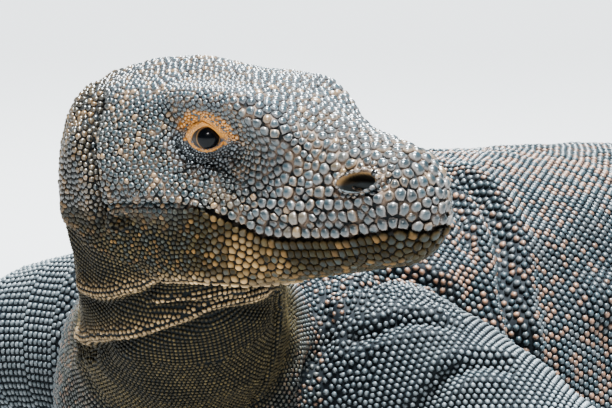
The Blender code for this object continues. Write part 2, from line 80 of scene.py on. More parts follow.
LIMBS = {
    "left_arm": [(0.050, 0.040, 0.136, 0.056, 0.068), (0.106, 0.044, 0.132, 0.052, 0.066),
                 (0.160, 0.066, 0.115, 0.044, 0.052), (0.203, 0.086, 0.086, 0.036, 0.039),
                 (0.222, 0.046, 0.062, 0.032, 0.032), (0.231, -0.006, 0.037, 0.024, 0.023),
                 (0.236, -0.046, 0.021, 0.022, 0.017)],
    "right_arm": [(-0.050, 0.040, 0.138, 0.054, 0.066), (-0.106, 0.036, 0.138, 0.050, 0.062),
                  (-0.166, 0.032, 0.132, 0.044, 0.049), (-0.224, 0.034, 0.106, 0.037, 0.041),
                  (-0.234, -0.012, 0.070, 0.032, 0.032), (-0.232, -0.066, 0.040, 0.024, 0.023),
                  (-0.232, -0.106, 0.021, 0.022, 0.017)],
    "left_leg": [(0.040, 0.620, 0.100, 0.062, 0.066), (0.100, 0.600, 0.104, 0.058, 0.062),
                 (0.168, 0.560, 0.096, 0.048, 0.054), (0.222, 0.535, 0.072, 0.040, 0.042),
                 (0.236, 0.592, 0.054, 0.037, 0.036), (0.248, 0.658, 0.034, 0.025, 0.025),
                 (0.268, 0.688, 0.021, 0.023, 0.018)],
    "right_leg": [(-0.040, 0.620, 0.100, 0.062, 0.066), (-0.098, 0.612, 0.104, 0.058, 0.062),
                  (-0.166, 0.590, 0.096, 0.048, 0.054), (-0.222, 0.588, 0.072, 0.040, 0.042),
                  (-0.240, 0.650, 0.054, 0.037, 0.036), (-0.256, 0.716, 0.034, 0.025, 0.025),
                  (-0.278, 0.746, 0.021, 0.023, 0.018)],
}
# Where each foot points, in degrees from straight ahead, and how long it is
TOES = {"left_arm": (12, 0.10), "right_arm": (-14, 0.10), "left_leg": (62, 0.13), "right_leg": (-56, 0.13)}
FOOT_DROP = 0.008
FOOT_HALF = (0.032, 0.016)
# Behind and below this sloping plane, a place is on the neck and not on the head
HEAD_EDGE = (0.09, 0.97, -0.145)
HEAD_EDGE_SLOPE = (0, 0.19, -0.54)

# Lines on the head: (back, up) of the mouth and the fold behind it, (left, back, up) of the others
MOUTH = [(0.00, -0.022), (0.03, -0.010), (0.075, 0.000), (0.125, -0.010), (0.218, -0.040), (0.377, -0.061),
         (0.443, -0.061), (0.523, -0.032), (0.58, -0.009), (0.657, -0.005)]
CHEEK_FOLD = [(0.657, -0.005), (0.76, -0.014), (0.845, -0.026), (0.925, -0.056)]
LIP_LINE = np.array(MOUTH + CHEEK_FOLD[1:]).T
EAR_SLIT = [(0.120, 0.985, 0.235), (0.177, 0.965, 0.198), (0.208, 0.953, 0.153), (0.239, 0.938, 0.097),
            (0.261, 0.915, 0.041), (0.253, 0.905, -0.022), (0.243, 0.905, -0.075), (0.215, 0.93, -0.12)]
FACE_DIP = [(0.150, 0.600, 0.142), (0.142, 0.545, 0.130)]
BROW_RIDGE = [(0.128, 0.36, 0.165), (0.140, 0.42, 0.200), (0.153, 0.49, 0.242), (0.165, 0.58, 0.256),
              (0.168, 0.70, 0.250), (0.165, 0.82, 0.235)]
NAPE_ROLL = [(0.060, 1.075, 0.235), (0.110, 1.055, 0.210), (0.173, 1.035, 0.148), (0.205, 1.025, 0.077),
             (0.212, 1.030, 0.000), (0.214, 1.032, -0.061), (0.190, 1.06, -0.14)]

# Folds of the neck and shoulder: line, height and width. Each has a groove on its lower side.
NECK_FOLDS = [
    ([(0.056, -0.164, 0.223), (0.088, -0.176, 0.219), (0.114, -0.177, 0.224), (0.150, -0.178, 0.231),
      (0.186, -0.169, 0.234), (0.200, -0.145, 0.233), (0.185, -0.100, 0.229)], 3.8 * MM, 5.2 * MM),
    ([(0.006, -0.108, 0.180), (0.050, -0.142, 0.187), (0.083, -0.163, 0.194), (0.116, -0.161, 0.202),
      (0.134, -0.153, 0.209), (0.146, -0.145, 0.216), (0.151, -0.119, 0.218), (0.140, -0.088, 0.216)],
     4.8 * MM, 5.6 * MM),
    ([(0.118, -0.170, 0.217), (0.136, -0.161, 0.219), (0.151, -0.143, 0.223), (0.153, -0.129, 0.222)],
     2.6 * MM, 3.0 * MM),
]
NECK_CRESTS = []  # crest, foot and width of each roll of the neck, filled by make_skin
BODY_FOLDS = [
    # the neck's left edge, its nape, behind the mouth's corner, and the pit over the breast
    ([(0.145, -0.095, 0.220), (0.136, -0.084, 0.205), (0.129, -0.079, 0.189), (0.114, -0.072, 0.159),
      (0.100, -0.065, 0.145)], 3.0 * MM, 4.0 * MM),
    ([(0.000, -0.075, 0.212), (0.025, -0.045, 0.218), (0.060, -0.025, 0.220)], 2.4 * MM, 4.0 * MM),
    ([(0.113, -0.197, 0.268), (0.121, -0.194, 0.262), (0.132, -0.193, 0.264)], -4.0 * MM, 2.4 * MM),
    ([(-0.005, -0.100, 0.170), (0.030, -0.126, 0.175), (0.050, -0.141, 0.177)], -4.0 * MM, 4.0 * MM),
    # creases of the left shoulder
    ([(0.080, 0.008, 0.194), (0.095, 0.023, 0.197), (0.097, 0.037, 0.199), (0.089, 0.063, 0.198),
      (0.100, 0.082, 0.194), (0.110, 0.086, 0.187), (0.140, 0.070, 0.172)], -5.5 * MM, 4.2 * MM),
    ([(0.120, 0.052, 0.194), (0.134, 0.052, 0.190), (0.154, 0.042, 0.178)], -3.0 * MM, 2.8 * MM),
    ([(0.105, -0.003, 0.169), (0.124, 0.012, 0.178), (0.138, 0.030, 0.184), (0.158, 0.048, 0.177)],
     -5.0 * MM, 4.0 * MM),
    ([(0.190, 0.056, 0.159), (0.175, 0.045, 0.162), (0.163, 0.024, 0.155), (0.152, 0.008, 0.130)],
     -5.5 * MM, 4.5 * MM),
    ([(0.096, 0.003, 0.176), (0.097, -0.012, 0.161), (0.099, -0.028, 0.140)], -5.0 * MM, 4.5 * MM),
    # behind the shoulders, left then right
    ([(0.000, 0.196, 0.245), (0.063, 0.171, 0.233), (0.095, 0.153, 0.214), (0.125, 0.130, 0.178),
      (0.144, 0.122, 0.130)], -10.0 * MM, 6.5 * MM),
    ([(0.020, 0.154, 0.242), (0.064, 0.144, 0.232), (0.101, 0.115, 0.203)], -4.5 * MM, 4.0 * MM),
    ([(-0.030, 0.190, 0.243), (-0.070, 0.175, 0.230), (-0.100, 0.155, 0.206), (-0.124, 0.135, 0.175),
      (-0.138, 0.125, 0.140)], -4.0 * MM, 4.4 * MM),
    # before the hips
    ([(0.085, 0.500, 0.195), (0.115, 0.495, 0.165), (0.132, 0.485, 0.130), (0.136, 0.480, 0.095)],
     -4.0 * MM, 5.0 * MM),
    ([(-0.085, 0.520, 0.195), (-0.115, 0.515, 0.165), (-0.130, 0.510, 0.130), (-0.134, 0.505, 0.095)],
     -4.0 * MM, 5.0 * MM),
]

FLESH = [
    "head", "lower_jaw", "neck_upper", "neck_lower", "chest", "belly", "pelvis", "tail_base",
    "tail_upper", "tail_lower", "tail_tip",
    *(f"{side}_{part}" for side in ("left", "right")
      for part in ("upper_arm", "forearm", "hand", "thigh", "shank", "foot")),
]

# ---------------------------------------------------------------- sizes of skin and scales
VOXEL = 4.2 * MM
GROW = 0.5 * MM  # closes the CAD's thin cuts before the remesh
COAT_DEPTH = 1.1 * MM
FLOOR_GAP = 0.2 * MM
SCALE_SEED = 11
LID_REACH = 0.036  # the granules round an eye lie within this of its centre
NECK_END = 0.31  # where the spine leaves the folded part of the neck, from 0 to 1
SMOOTH_BACK = -0.53  # how far each smoothing step swells back what the last one shrank


# ---------------------------------------------------------------- number tools
def smooth(low, high, x):
    """0 below `low`, 1 above `high`, eased between them."""
    t = np.clip((x - low) / (high - low), 0, 1)
    return t * t * (3 - 2 * t)


def bell(x, width):
    """1 at 0, falling away on both sides over `width`."""
    return np.exp(-((x / width) ** 2))


def through(rows, where):
    """Rows of values on a smooth curve through `rows`, at these places along the list."""
    rows = np.array(rows, float)
    slopes = np.gradient(rows, axis=0)
    where = np.clip(np.atleast_1d(np.asarray(where, float)), 0, len(rows) - 1)
    i = np.clip(where.astype(int), 0, len(rows) - 2)
    t = (where - i)[:, None]
    return (
        (2 * t**3 - 3 * t**2 + 1) * rows[i]
        + (t**3 - 2 * t**2 + t) * slopes[i]
        + (3 * t**2 - 2 * t**3) * rows[i + 1]
        + (t**3 - t**2) * slopes[i + 1]
    )


def unit(vectors):
    return vectors / np.maximum(np.linalg.norm(vectors, axis=-1, keepdims=True), 1e-12)


def mix(a, b, t):
    return a + (b - a) * t[:, None]


def waves(points, size, seed, count=9):
    """Soft random swells about `size` metres across, from about -1 to 1."""
    rng = np.random.default_rng(seed)
    ways = unit(rng.normal(size=(count, 3))) * rng.uniform(0.7, 1.5, (count, 1))
    phase = rng.uniform(0, 2 * np.pi, count)
    return np.sin(points @ ways.T * (2 * np.pi / size) + phase).sum(1) / count**0.5


def line_distance(points, line):
    """Distance from each point to a broken line, and how far along it the nearest place is, 0 to 1."""
    line = np.array(line, float)
    best = np.full(len(points), 1e9)
    along = np.zeros(len(points))
    pieces = len(line) - 1
    for i in range(pieces):
        step = line[i + 1] - line[i]
        t = np.clip((points - line[i]) @ step / (step @ step), 0, 1)
        gap = np.linalg.norm(points - line[i] - t[:, None] * step, axis=1)
        nearer = gap < best
        best[nearer] = gap[nearer]
        along[nearer] = (i + t[nearer]) / pieces
    return best, along


def fade_ends(along, room=0.14):
    return smooth(0, room, along) * smooth(1, 1 - room, along)


def lengths(path):
    """How far along a path each of its places is."""
    return np.concatenate([[0], np.cumsum(np.linalg.norm(np.diff(path, axis=0), axis=1))])


def rows_at(where, places, rows):
    """Rows of values, one for each of `places`, read at other places between them."""
    return np.column_stack([np.interp(where, places, column) for column in rows.T])


def beads_along(path, gap, offset=0):
    """Places every `gap` millimetres along a path, the first of them `offset` gaps from its start."""
    run = lengths(path)
    steps = (np.arange(int(run[-1] / (gap * MM))) + offset) * gap * MM
    return rows_at(steps, run, path)


def mirrored(places):
    """Places on the head with its right half laid over the left."""
    return places * (0, 1, 1) + np.abs(places) * (1, 0, 0)


# ---------------------------------------------------------------- frames of the head and body
def head_matrix():
    """Head coordinates to metres, laid on the two CAD eyes."""
    yaw, pitch, roll = (math.radians(angle) for angle in HEAD_TURN)
    turn = Matrix.Rotation(yaw, 4, "Z") @ Matrix.Rotation(pitch, 4, "X") @ Matrix.Rotation(roll, 4, "Y")
    scaled = turn @ Matrix.Scale(HEAD_LENGTH, 4)
    eyes = (eye_centre("left") + eye_centre("right")) / 2
    return Matrix.Translation(eyes - scaled @ EYE_MIDDLE) @ scaled


def eye_centre(side):
    low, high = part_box(f"{side}_eye")
    return (low + high) / 2


HEAD = head_matrix()
TO_WORLD = np.array(HEAD)
TO_HEAD = np.array(HEAD.inverted())
SHIFT = np.array(HEAD @ Vector((0, 1, 0)) - HEAD_BACK)


def to_head(points):
    return points @ TO_HEAD[:3, :3].T + TO_HEAD[:3, 3]


def from_head(points):
    return np.asarray(points, float) @ TO_WORLD[:3, :3].T + TO_WORLD[:3, 3]


def head_way(way):
    """A direction given in head coordinates, as a unit vector in the frame."""
    return unit(TO_WORLD[:3, :3] @ np.asarray(way, float))


def heading(degrees):
    a = math.radians(degrees)
    return np.array((math.sin(a), -math.cos(a), 0.0))


def axis_samples(rows, steps):
    """Centres, half sizes, side and up directions at even places along a list of sections."""
    fine = through(rows, np.linspace(0, len(rows) - 1, steps))
    centres = fine[:, :3] + SHIFT
    ahead = unit(np.gradient(centres, axis=0))
    side = unit(np.cross(ahead, (0, 0, 1)))
    return {"centre": centres, "half": fine[:, 3:], "side": side, "up": np.cross(side, ahead)}


def axes():
    """The spine first, then each limb with its foot laid on as a straight end."""
    found = {"spine": axis_samples(SPINE, 120)}
    for limb, rows in LIMBS.items():
        angle, reach = TOES[limb]
        wrist = np.array(rows[-1][:3])
        ends = [(*(wrist + heading(angle) * reach * t - (0, 0, FOOT_DROP * t)), *FOOT_HALF)
                for t in (0.5, 1.0)]
        found[limb] = axis_samples([*rows, *ends], 36)
    return found


AXES = axes()
AXIS_NAMES = list(AXES)


def describe(points):
    """For each point: head coordinates, its axis, the place along that axis (0 to 1) and round it."""
    owner = np.zeros(len(points), int)
    best = np.full(len(points), 1e9)
    along = np.zeros(len(points))
    turn = np.zeros(len(points))
    for number, name in enumerate(AXIS_NAMES):
        axis = AXES[name]
        centre, size = axis["centre"], axis["half"].mean(1)
        square = (points**2).sum(1)[:, None] + (centre**2).sum(1) - 2 * points @ centre.T
        ratio = square / size**2
        nearest = ratio.argmin(1)
        ratio = ratio[np.arange(len(points)), nearest]
        offset = points - centre[nearest]
        angle = np.arctan2((offset * axis["up"][nearest]).sum(1), (offset * axis["side"][nearest]).sum(1))
        nearer = ratio < best
        best = np.where(nearer, ratio, best)
        owner = np.where(nearer, number, owner)
        along = np.where(nearer, nearest / (len(size) - 1), along)
        turn = np.where(nearer, angle, turn)
    head = to_head(points)
    slope = (head - HEAD_EDGE) @ HEAD_EDGE_SLOPE
    on_head = (head[:, 1] < 1.08) & (slope < 0) & (np.abs(head[:, 0]) < 0.36)
    return {"point": points, "head": head, "owner": owner, "along": along, "turn": turn, "on_head": on_head}


# ---------------------------------------------------------------- mesh tools
def pulled(items, key):
    values = np.empty(len(items) * 3, np.float32)
    items.foreach_get(key, values)
    return values.reshape(-1, 3).astype(float)


def read(mesh):
    return pulled(mesh.vertices, "co")


def normals_of(mesh):
    return pulled(mesh.vertex_normals, "vector")


def write(mesh, points):
    mesh.vertices.foreach_set("co", points.astype(np.float32).ravel())
    mesh.update()


class Surface:
    """A skin held still, for rays and nearest places."""

    def __init__(self, mesh):
        self.tree = BVHTree.FromPolygons(read(mesh).tolist(), [face.vertices[:] for face in mesh.polygons])
        self.mesh = mesh

    def nearest(self, points):
        hits = [self.tree.find_nearest(point) for point in points.tolist()]
        return np.array([hit[0] for hit in hits]), np.array([hit[1] for hit in hits])

    def cast(self, origins, ways, reach):
        """Where rays meet the skin, without those that go past their `reach` first."""
        rays = zip(origins.tolist(), ways.tolist(), reach.tolist())
        hits = [self.tree.ray_cast(origin, way, limit)[0] for origin, way, limit in rays]
        return np.array([hit for hit in hits if hit is not None])


def link(name, data):
    made = bpy.data.objects.new(name, data)
    bpy.context.scene.collection.objects.link(made)
    return made


def drawn(shape, name):
    """A new mesh from a bmesh, which is freed."""
    mesh = bpy.data.meshes.new(name)
    shape.to_mesh(mesh)
    shape.free()
    return mesh


def applied(obj):
    """Makes the evaluated mesh the object's own."""
    graph = bpy.context.evaluated_depsgraph_get()
    mesh = bpy.data.meshes.new_from_object(obj.evaluated_get(graph))
    obj.modifiers.clear()
    obj.data = mesh
    return mesh


def even_out(mesh, rounds, weight):
    """Smooths without shrinking, where `weight` is 1."""
    points = read(mesh)
    edges = np.empty(len(mesh.edges) * 2, np.int32)
    mesh.edges.foreach_get("vertices", edges)
    a, b = edges.reshape(-1, 2).T
    total = len(points)
    links = np.maximum(np.bincount(a, minlength=total) + np.bincount(b, minlength=total), 1)
    for _ in range(rounds):
        for factor in (0.5, SMOOTH_BACK):
            mean = np.column_stack([
                np.bincount(a, points[b, axis], total) + np.bincount(b, points[a, axis], total)
                for axis in range(3)
            ]) / links[:, None]
            points += factor * weight[:, None] * (mean - points)
    write(mesh, points)


def refine(mesh, wanted):
    """Splits each face whose centre `wanted` picks into four."""
    shape = bmesh.new()
    shape.from_mesh(mesh)
    centres = np.array([face.calc_center_median() for face in shape.faces])
    picked = wanted(centres)
    edges = {edge for face, keep in zip(shape.faces, picked) if keep for edge in face.edges}
    bmesh.ops.subdivide_edges(shape, edges=list(edges), cuts=1, use_grid_fill=True)
    shape.to_mesh(mesh)
    shape.free()


# ---------------------------------------------------------------- skin
def filler(place, size, joined):
    """An ellipsoid along the head's axes that fills a hole in the CAD before the remesh."""
    turn = HEAD.to_3x3().normalized().to_4x4()
    fit = Matrix.Translation(HEAD @ Vector(place)) @ turn @ Matrix.Diagonal((*size, 1))
    bmesh.ops.create_uvsphere(joined, u_segments=20, v_segments=14, radius=1, matrix=fit)


# In each socket, nostril and ear slit: place in head lengths and half sizes
FILLERS = [((0.120, 0.65, 0.150), (EYE_RADIUS * 0.98,) * 3),
           ((0.105, 0.181, 0.100), (4.6 * MM, 7.5 * MM, 4.2 * MM)),
           ((0.222, 0.985, 0.080), (6.5 * MM, 7.5 * MM, 17.5 * MM))]


def raw_skin():
    """All flesh nodes, grown a hair and joined by a voxel remesh."""
    joined = bmesh.new()
    for name in FLESH:
        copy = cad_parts[name].data.copy()
        shape = bmesh.new()
        shape.from_mesh(copy)
        bmesh.ops.remove_doubles(shape, verts=shape.verts, dist=1e-6)
        shape.normal_update()
        for vert in shape.verts:
            vert.co += vert.normal * GROW
        shape.to_mesh(copy)
        shape.free()
        joined.from_mesh(copy)
        bpy.data.meshes.remove(copy)
    for sign in (1, -1):
        for (left, back, up), size in FILLERS:
            filler((sign * left, back, up), size, joined)
    skin = link("skin", drawn(joined, "skin"))
    step = skin.modifiers.new("Remesh", "REMESH")
    step.mode = "VOXEL"
    step.voxel_size = VOXEL
    applied(skin)
    return skin


def near_eye(points, reach):
    gaps = [np.linalg.norm(points - np.array(eye_centre(side)), axis=1) for side in SIDES]
    return np.minimum(*gaps) < reach


def mouth_distance(head):
    return line_distance(head[:, 1:] * HEAD_LENGTH, np.array(MOUTH) * HEAD_LENGTH)


def nostril_distance(head):
    """How far a point is from a nostril's middle, where the opening ends at 1, and how far above it."""
    gap = (mirrored(head) - np.array(NOSTRIL)) * HEAD_LENGTH
    tilt = math.radians(NOSTRIL_TILT)
    along = gap[:, 1] * math.cos(tilt) + gap[:, 2] * math.sin(tilt)
    across = gap[:, 2] * math.cos(tilt) - gap[:, 1] * math.sin(tilt)
    return np.hypot(along / NOSTRIL_HALF[0], np.hypot(across, gap[:, 0] * 0.35) / NOSTRIL_HALF[1]), across


def wants_head(points):
    spot = describe(points)
    neck = (spot["owner"] == 0) & (spot["along"] < 0.26)
    return spot["on_head"] | neck


def near_details(points, lip, rear, nose, eye):
    """Close to the mouth's line as far back as `rear`, to a nostril or to an eye."""
    head = to_head(points)
    mouth = (mouth_distance(head)[0] < lip) & (head[:, 1] < rear) & (np.abs(head[:, 0]) < 0.3)
    return mouth | (nostril_distance(head)[0] < nose) | near_eye(points, eye)


def wants_fine(points):
    return near_details(points, 4.5 * MM, 0.72, 2.4, 0.026)


def wants_finest(points):
    return near_details(points, 1.8 * MM, 0.70, 1.9, 0.0175)


LID_POWER = 1.7  # the opening's outline, between an ellipse at 2 and a diamond at 1
EYE_REACH = 13.5 * MM  # past this distance from the eyeball's centre, a place counts as further out


def eye_ways(side):
    """Out of an eye's opening, up across it and back across it."""
    sign = 1 if side == "left" else -1
    look = head_way(EYE_LOOK * Vector((sign, 1, 1)))
    up = head_way((0, 0.06, 1))
    up = unit(up - look * (up @ look))
    back = head_way((0, 1, 0))
    back = unit(back - look * (back @ look) - up * (back @ up))
    return look, up, back


def eye_angles(points, side):
    """Each point seen from an eyeball's centre: distance, place between the lids (1 is their edge),
    and how far up and back it lies."""
    look, up, back = eye_ways(side)
    rays = points - np.array(eye_centre(side))
    reach = np.linalg.norm(rays, axis=1)
    angle = np.degrees(np.arccos(np.clip(rays @ look / np.maximum(reach, 1e-9), -1, 1)))
    round_it = np.arctan2(rays @ up, rays @ back)
    along, above, below = LID_ROOM
    x = angle * np.cos(round_it) / along
    y = angle * np.sin(round_it) / np.where(np.sin(round_it) > 0, above, below)
    edge = (np.abs(x) ** LID_POWER + np.abs(y) ** LID_POWER) ** (1 / LID_POWER)
    edge += np.maximum(reach - EYE_REACH, 0) / (4.2 * MM)
    return rays, reach, edge, np.sin(round_it), np.cos(round_it)


def lid_edge(points, reach=np.inf):
    """The place of each point between or outside the lids of the nearer eye. It is 9 past `reach`."""
    eyes = (eye_angles(points, side) for side in SIDES)
    return np.minimum(*(np.where(far < reach, edge, 9) for _, far, edge, _, _ in eyes))


LID_PLACES = (0.80, 0.92, 1.00, 1.08, 1.20, 1.34, 1.46, 1.56, 1.70, 1.90, 2.4)
UPPER_LID = (-4.0, -2.5, 0.30, 1.30, 2.10, 2.00, 0.90, 0.20, 1.50, 2.10, 2.0)  # mm over the eyeball
LOWER_LID = (-4.0, -2.5, 0.20, 0.90, 1.30, 0.70, 0.20, 0.70, 0.60, 1.10, 1.6)
LID_WRINKLE = 1.1 * MM


def lid_rings(edge, up):
    """The wrinkles that ring each eye from below, from -1 in a crease to 1 on a crest."""
    fade = smooth(5.0, 3.6, edge)
    return np.sin((edge - 1.7) * 2 * np.pi / 0.50) * smooth(1.5, 1.9, edge) * fade * smooth(0.45, -0.15, up)


def shape_lids(points):
    for side in SIDES:
        rays, reach, edge, up, _ = eye_angles(points, side)
        near = reach < 0.034
        height = mix(np.interp(edge, LID_PLACES, LOWER_LID)[:, None],
                     np.interp(edge, LID_PLACES, UPPER_LID)[:, None], smooth(-0.25, 0.25, up))[:, 0] * MM
        keep = np.maximum(smooth(1.55, 2.5, edge), smooth(15 * MM, 19 * MM, reach))
        target = (1 - keep) * (EYE_RADIUS + height) + keep * reach
        target = np.where(near, target + LID_WRINKLE * lid_rings(edge, up), reach)
        points = points + unit(rays) * (target - reach)[:, None]
    return points


def hollow_before_eyes(points, normals):
    """The dip in the face just ahead of each eye."""
    dip, _ = line_distance(mirrored(to_head(points)) * HEAD_LENGTH, np.array(FACE_DIP) * HEAD_LENGTH)
    return points - normals * (4.0 * MM * bell(dip, 7.0 * MM))[:, None]


# Across the mouth's line and across the fold behind it: how far above, height and width, in millimetres
MOUTH_PROFILE = [(0, -2.2, 0.70), (2.6, 0.7, 1.5)]
CHEEK_PROFILE = [(0, -1.9, 1.5), (3.2, 0.9, 2.0)]
# Line, height and width in millimetres, and the share of its length over which each end fades
HEAD_RIDGES = [(EAR_SLIT, -9.0, 3.6, 0.20), (NAPE_ROLL, 3.6, 6.5, 0.12), (BROW_RIDGE, 4.6, 6.5, 0.25)]
NOSTRIL_DEPTH = 9.0 * MM
LIP_GROOVES = [(0.036, 0.8), (0.069, 1.1), (0.100, 1.6)]  # above the mouth in head lengths, depth in mm


def shape_head(points, normals):
    """Lips, nostrils, brows, the slit behind the cheek and the nape's roll."""
    head = to_head(points)
    metres = head * HEAD_LENGTH
    beside = np.abs(head[:, 0]) < 0.34
    side = beside & (np.abs(head[:, 0]) > 0.10)
    off, _ = mouth_distance(head)
    closed = smooth(0.72, 0.60, head[:, 1]) * beside
    rise = np.zeros(len(points))
    for place, height, width in MOUTH_PROFILE:
        rise += height * MM * bell(off - place * MM, width * MM) * closed
    fold, t = line_distance(metres[:, 1:], np.array(CHEEK_FOLD) * HEAD_LENGTH)
    across_fold = sum(height * MM * bell(fold - place * MM, width * MM)
                      for place, height, width in CHEEK_PROFILE)
    rise += side * smooth(0, 0.1, t) * across_fold
    for line, height, width, room in HEAD_RIDGES:
        off, t = line_distance(mirrored(metres), np.array(line) * HEAD_LENGTH)
        rise += height * MM * bell(off, width * MM) * fade_ends(t, room)
    ring, across = nostril_distance(head)
    above = smooth(-1 * MM, 2 * MM, across)
    rise -= NOSTRIL_DEPTH * smooth(1.14, 0.70, ring)
    rise += (2.2 + 1.0 * above) * MM * bell(ring - 1.34 - 0.06 * above, 0.20 + 0.05 * above)
    rise -= 1.8 * MM * bell(ring - 1.86, 0.18) * (1 - above)
    lip_high = head[:, 2] - np.interp(head[:, 1], *np.array(MOUTH).T)
    band = smooth(0.72, 0.60, head[:, 1]) * smooth(0.14, 0.24, head[:, 1]) * side
    for height, depth in LIP_GROOVES:
        rise -= depth * MM * bell((lip_high - height) * HEAD_LENGTH, 1.0 * MM) * band
    return points + normals * rise[:, None]


def lay_folds(surface, folds):
    """Each fold with its line laid on the skin, and the way out of the skin along it."""
    laid = []
    for line, height, width in folds:
        places = np.linspace(0, len(line) - 1, 3 * len(line) - 2)
        found, out = surface.nearest(through(np.array(line) + SHIFT, places))
        laid.append((found, out, height, width))
    return laid


FOOT_BELOW = 2.0  # the groove under a roll is this many of its widths below the crest


def shape_folds(surface, points, normals, folds):
    """A roll of skin along each line with a groove under it, or a groove where the height is negative."""
    rise = np.zeros(len(points))
    for line, _, height, width in folds:
        off, along = line_distance(points, line)
        rise += height * bell(off, width) * fade_ends(along)
        if height > 0:
            below, _ = surface.nearest(line - (0, 0, FOOT_BELOW * width))
            under, along = line_distance(points, below)
            rise -= 0.8 * height * bell(under, 0.9 * width) * fade_ends(along)
        else:
            rise -= 0.35 * height * bell(off - 2.2 * width, width) * fade_ends(along)
    return points + normals * rise[:, None]


def shape_body(points, normals):
    """Slack skin: small cross wrinkles on the flanks and swells all over."""
    spot = describe(points)
    trunk = (spot["owner"] == 0) & (spot["along"] > 0.33)
    rise = 0.5 * MM * waves(points, 0.035, 3) * ~spot["on_head"]
    cross = np.sin(points[:, 1] * 2 * np.pi / 0.021 + 2.2 * waves(points, 0.09, 4))
    rise += 0.45 * MM * cross * trunk * smooth(0.05, 0.12, points[:, 2])
    flank = smooth(0.03, 0.09, points[:, 2]) * smooth(0.26, 0.16, points[:, 2])
    slack = trunk * flank * (spot["along"] < 0.62)
    rise += 2.2 * MM * waves(points * (1, 0.45, 1.3), 0.045, 9) * slack
    return points + normals * rise[:, None]


def make_skin():
    skin = raw_skin()
    mesh = skin.data
    points = read(mesh)
    even_out(mesh, 45, 0.35 + 0.65 * smooth(0.02, 0.05, points[:, 2]))
    for wanted, rounds in ((wants_head, 6), (wants_fine, 2), (wants_finest, 1)):
        refine(mesh, wanted)
        even_out(mesh, rounds, wants_head(read(mesh)).astype(float))
    write(mesh, hollow_before_eyes(read(mesh), normals_of(mesh)))
    write(mesh, shape_lids(read(mesh)))
    points = shape_head(read(mesh), normals_of(mesh))
    write(mesh, points)
    surface = Surface(mesh)
    rolls = lay_folds(surface, NECK_FOLDS)
    for line, out, height, width in rolls:
        foot, out_there = surface.nearest(line - (0, 0, FOOT_BELOW * width))
        NECK_CRESTS.append((line + 0.9 * height * out, foot - 0.5 * height * out_there, width))
    points = shape_folds(surface, points, normals_of(mesh), rolls + lay_folds(surface, BODY_FOLDS))
    write(mesh, points)
    points = shape_body(points, normals_of(mesh))
    write(mesh, points)
    spot = describe(points)
    depth = np.where(spot["on_head"], 0.6, 1.0) * COAT_DEPTH
    depth *= np.where(near_eye(points, 0.03), smooth(1.3, 2.3, lid_edge(points)), 1)
    points -= normals_of(mesh) * depth[:, None]
    points[:, 2] = np.maximum(points[:, 2], FLOOR_GAP)
    write(mesh, points)
    return skin


# ---------------------------------------------------------------- where the scales sit
# Spacing of the head's scales: (left, back, up) in head lengths, then millimetres
HEAD_SPACING = [
    (0.00, 0.05, 0.08, 5.8), (0.10, 0.10, 0.08, 6.0), (0.00, 0.30, 0.19, 5.2), (0.12, 0.30, 0.05, 5.6),
    (0.12, 0.30, -0.04, 5.6), (0.00, 0.50, 0.27, 4.3), (0.15, 0.48, 0.23, 4.6), (0.14, 0.45, 0.10, 4.3),
    (0.00, 0.70, 0.31, 3.7), (0.15, 0.75, 0.25, 3.8), (0.00, 1.00, 0.28, 3.4), (0.16, 0.95, 0.22, 3.4),
    (0.15, 0.62, 0.12, 2.2), (0.20, 0.75, 0.10, 3.0), (0.25, 0.90, 0.05, 3.1), (0.20, 0.58, 0.02, 3.6),
    (0.25, 0.85, -0.05, 2.8), (0.20, 1.05, 0.10, 3.4), (0.12, 0.15, -0.09, 4.2), (0.15, 0.35, -0.12, 3.8),
    (0.17, 0.50, -0.14, 4.4), (0.20, 0.70, -0.12, 2.4), (0.20, 0.90, -0.15, 2.3), (0.00, 0.30, -0.16, 3.2),
    (0.00, 0.80, -0.23, 2.6),
]
SPACING_REACH = 0.10  # how far each of those rules, in head lengths

# Spacing along the spine and the limbs: place from 0 to 1, then millimetres
LEG_SPACING = [(0, 5.6), (0.5, 5.0), (0.72, 4.6), (0.84, 3.4), (1, 3.4)]
AXIS_SPACING = {
    "spine": [(0, 2.3), (0.25, 2.4), (0.31, 3.4), (0.36, 4.0), (0.47, 4.8), (0.54, 6.0), (0.75, 6.2),
              (0.9, 5.0), (1, 3.2)],
    "left_arm": [(0, 3.4), (0.4, 3.4), (0.72, 3.6), (0.84, 3.0), (1, 3.0)],
    "right_arm": [(0, 4.4), (0.4, 4.3), (0.72, 4.2), (0.84, 3.2), (1, 3.2)],
    "left_leg": LEG_SPACING,
    "right_leg": LEG_SPACING,
}
BELLY_SPACING = 3.0  # how many millimetres further apart the scales on the floor are
ROLL_SPACING = 0.15  # how much larger the scales on the throat's rolls are
# On the lids: places outside the opening, then millimetres
LID_SPACING = ((1.0, 1.45, 2.2, 4.0), (1.05, 1.35, 1.9, 2.9))


def head_spacing(head):
    keys = np.array(HEAD_SPACING)
    gap = np.linalg.norm(mirrored(head)[:, None] - keys[:, :3], axis=2)
    pull = np.exp(-((gap / SPACING_REACH) ** 2)) + 1e-9
    space = pull @ keys[:, 3] / pull.sum(1)
    ring = nostril_distance(head)[0]
    space = np.minimum(space, 2.3 + 2.4 * np.maximum(ring - 1.5, 0))
    size = waves(head * HEAD_LENGTH, 0.011, 41) * smooth(0.75, 0.45, head[:, 1]) * (head[:, 2] > -0.02)
    return space * (1 + 0.16 * size)


def on_roll(points):
    """1 on the crest of a roll of the neck, falling to 0 beside it, and the same for the crease under it,
    where shadow is painted.
    """
    near = np.zeros((2, len(points)))
    for crest, foot, width in NECK_CRESTS:
        for i, (line, reach) in enumerate(((crest, width), (foot, 0.7 * width))):
            off, along = line_distance(points, line)
            near[i] = np.maximum(near[i], bell(off, reach) * fade_ends(along))
    return near


